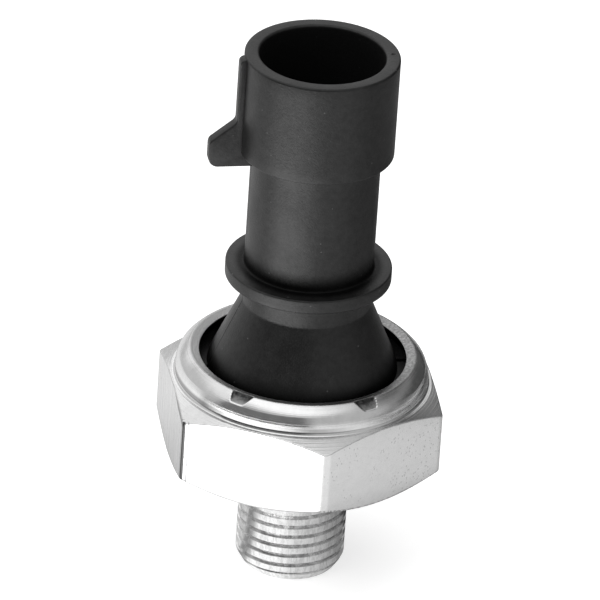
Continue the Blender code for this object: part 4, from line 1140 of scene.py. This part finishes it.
def make_floor():
    """A white floor that keeps the shadow. Polished surfaces see it lit from the front left."""
    bm = bmesh.new()
    bmesh.ops.create_grid(bm, x_segments=1, y_segments=1, size=FLOOR_SIZE)
    floor = linked("floor", bm)
    floor.location.z = FLOOR_Z
    made, n = material("floor")
    path = n.add("ShaderNodeLightPath")
    paper = n.fill(n.add("ShaderNodeBsdfDiffuse"), PAPER_TONE)
    glow = n.named("ShaderNodeEmission", {"Strength": PAPER_GLOW})
    seen = n.fill(n.add("ShaderNodeAddShader"), paper, glow.outputs[0])
    polished = n.named("ShaderNodeEmission", {"Strength": floor_level(n)})
    through = n.math("MAXIMUM", path.outputs["Is Glossy Ray"], path.outputs["Is Transmission Ray"])
    shown = n.mix_shaders(path.outputs["Is Camera Ray"], paper, seen)
    final = n.mix_shaders(through, shown, polished.outputs[0])
    n.output("ShaderNodeOutputMaterial", final)
    floor.data.materials.append(made)


def room_level(n):
    """Light that polished surfaces see round the object, by direction."""
    direction = n.add("ShaderNodeTexCoord").outputs["Generated"]
    rise = n.split(direction)[2]
    flat = n.vector("NORMALIZE", n.vector("MULTIPLY", direction, (1.0, 1.0, 0.0)))
    left = n.times(lobe(n, flat, LEFT_ANGLE, 60), n.smooth(rise, 0.45, 0.7, 0.1, 0.5))
    right = n.math("ADD", n.smooth(rise, 0.3, 0.45, 0.48, 0.34), n.smooth(rise, 0.53, 0.63, 0.0, 0.1))
    right = n.times(lobe(n, flat, FAR_RIGHT_ANGLE, 62), right)
    back = n.times(lobe(n, flat, BACK_ANGLE, 46), n.band(rise, 0.1, 0.35, 0.6, 0.8), 0.7)
    level = n.math("SUBTRACT", n.math("ADD", ROOM_LEVEL, n.math("ADD", left, back)), right)
    above = n.linear(n.dot(direction, studio_direction(WINDOW_ANGLE)), -0.3, 0.3, 0.6, 1.4)
    level = n.mix(n.smooth(rise, 0.76, 0.86), level, above)
    front = n.times(plateau(n, flat, ROOM_DARK_ANGLE, 38, 44), n.smooth(rise, 0.72, 0.64))
    return n.mix(front, level, 0.2)


def make_world():
    """White behind the object, soft light on it, and a studio with a dark front for polished surfaces."""
    world = bpy.data.worlds.new("studio")
    bpy.context.scene.world = world
    n = Nodes(world)
    path = n.add("ShaderNodeLightPath")
    through = n.math("MAXIMUM", path.outputs["Is Glossy Ray"], path.outputs["Is Transmission Ray"])
    level = n.mix(through, 0.5, room_level(n))
    level = n.mix(path.outputs["Is Camera Ray"], level, 1.0)
    n.output("ShaderNodeOutputWorld", n.named("ShaderNodeBackground", {"Strength": level}).outputs[0])


def add_lamp(name, angle, elevation, distance, power):
    """A square soft lamp aimed at the object's middle. Angles are in degrees."""
    data = bpy.data.lights.new(name, "AREA")
    data.energy = power
    data.size = LAMP_SIZE
    lamp = bpy.data.objects.new(name, data)
    bpy.context.scene.collection.objects.link(lamp)
    rise = math.radians(elevation)
    back = Vector(studio_direction(angle)) * math.cos(rise) + Vector((0.0, 0.0, math.sin(rise)))
    lamp.location = LAMP_AIM + back * distance
    lamp.rotation_mode = "QUATERNION"
    lamp.rotation_quaternion = (-back).to_track_quat("-Z", "Y")
    lamp.visible_glossy = False
    lamp.visible_camera = False


def make_camera():
    """The photograph's camera: a long lens from the front, above the object, and turned a little."""
    elevation = math.radians(28.40)
    roll = math.radians(3.894)
    distance = 896.2 * MM
    target = Vector((0.0, 0.0, 26.915 * MM))
    forward = Vector((0.0, math.cos(elevation), -math.sin(elevation)))
    right = Vector((1.0, 0.0, 0.0))
    up = right.cross(forward)
    across = right * math.cos(roll) + up * math.sin(roll)
    upward = up * math.cos(roll) - right * math.sin(roll)
    axes = Matrix((across, upward, -forward)).transposed().to_4x4()
    place = Matrix.Translation(target - forward * distance) @ axes
    data = bpy.data.cameras.new("camera")
    data.sensor_width = 36.0
    data.lens = 591.06
    data.shift_x = -0.01037
    data.shift_y = 0.00083
    data.clip_start = 0.01
    data.clip_end = 20.0
    camera = bpy.data.objects.new("camera", data)
    bpy.context.scene.collection.objects.link(camera)
    camera.matrix_world = Matrix.Rotation(CAMERA_TURN, 4, "Z") @ place
    bpy.context.scene.camera = camera


dress_all()
make_floor()
make_world()
add_lamp("key", 215, 50, 0.7, 2.6)
add_lamp("top", 90, 75, 0.8, 1.6)
make_camera()
bpy.context.scene.view_settings.view_transform = "Standard"
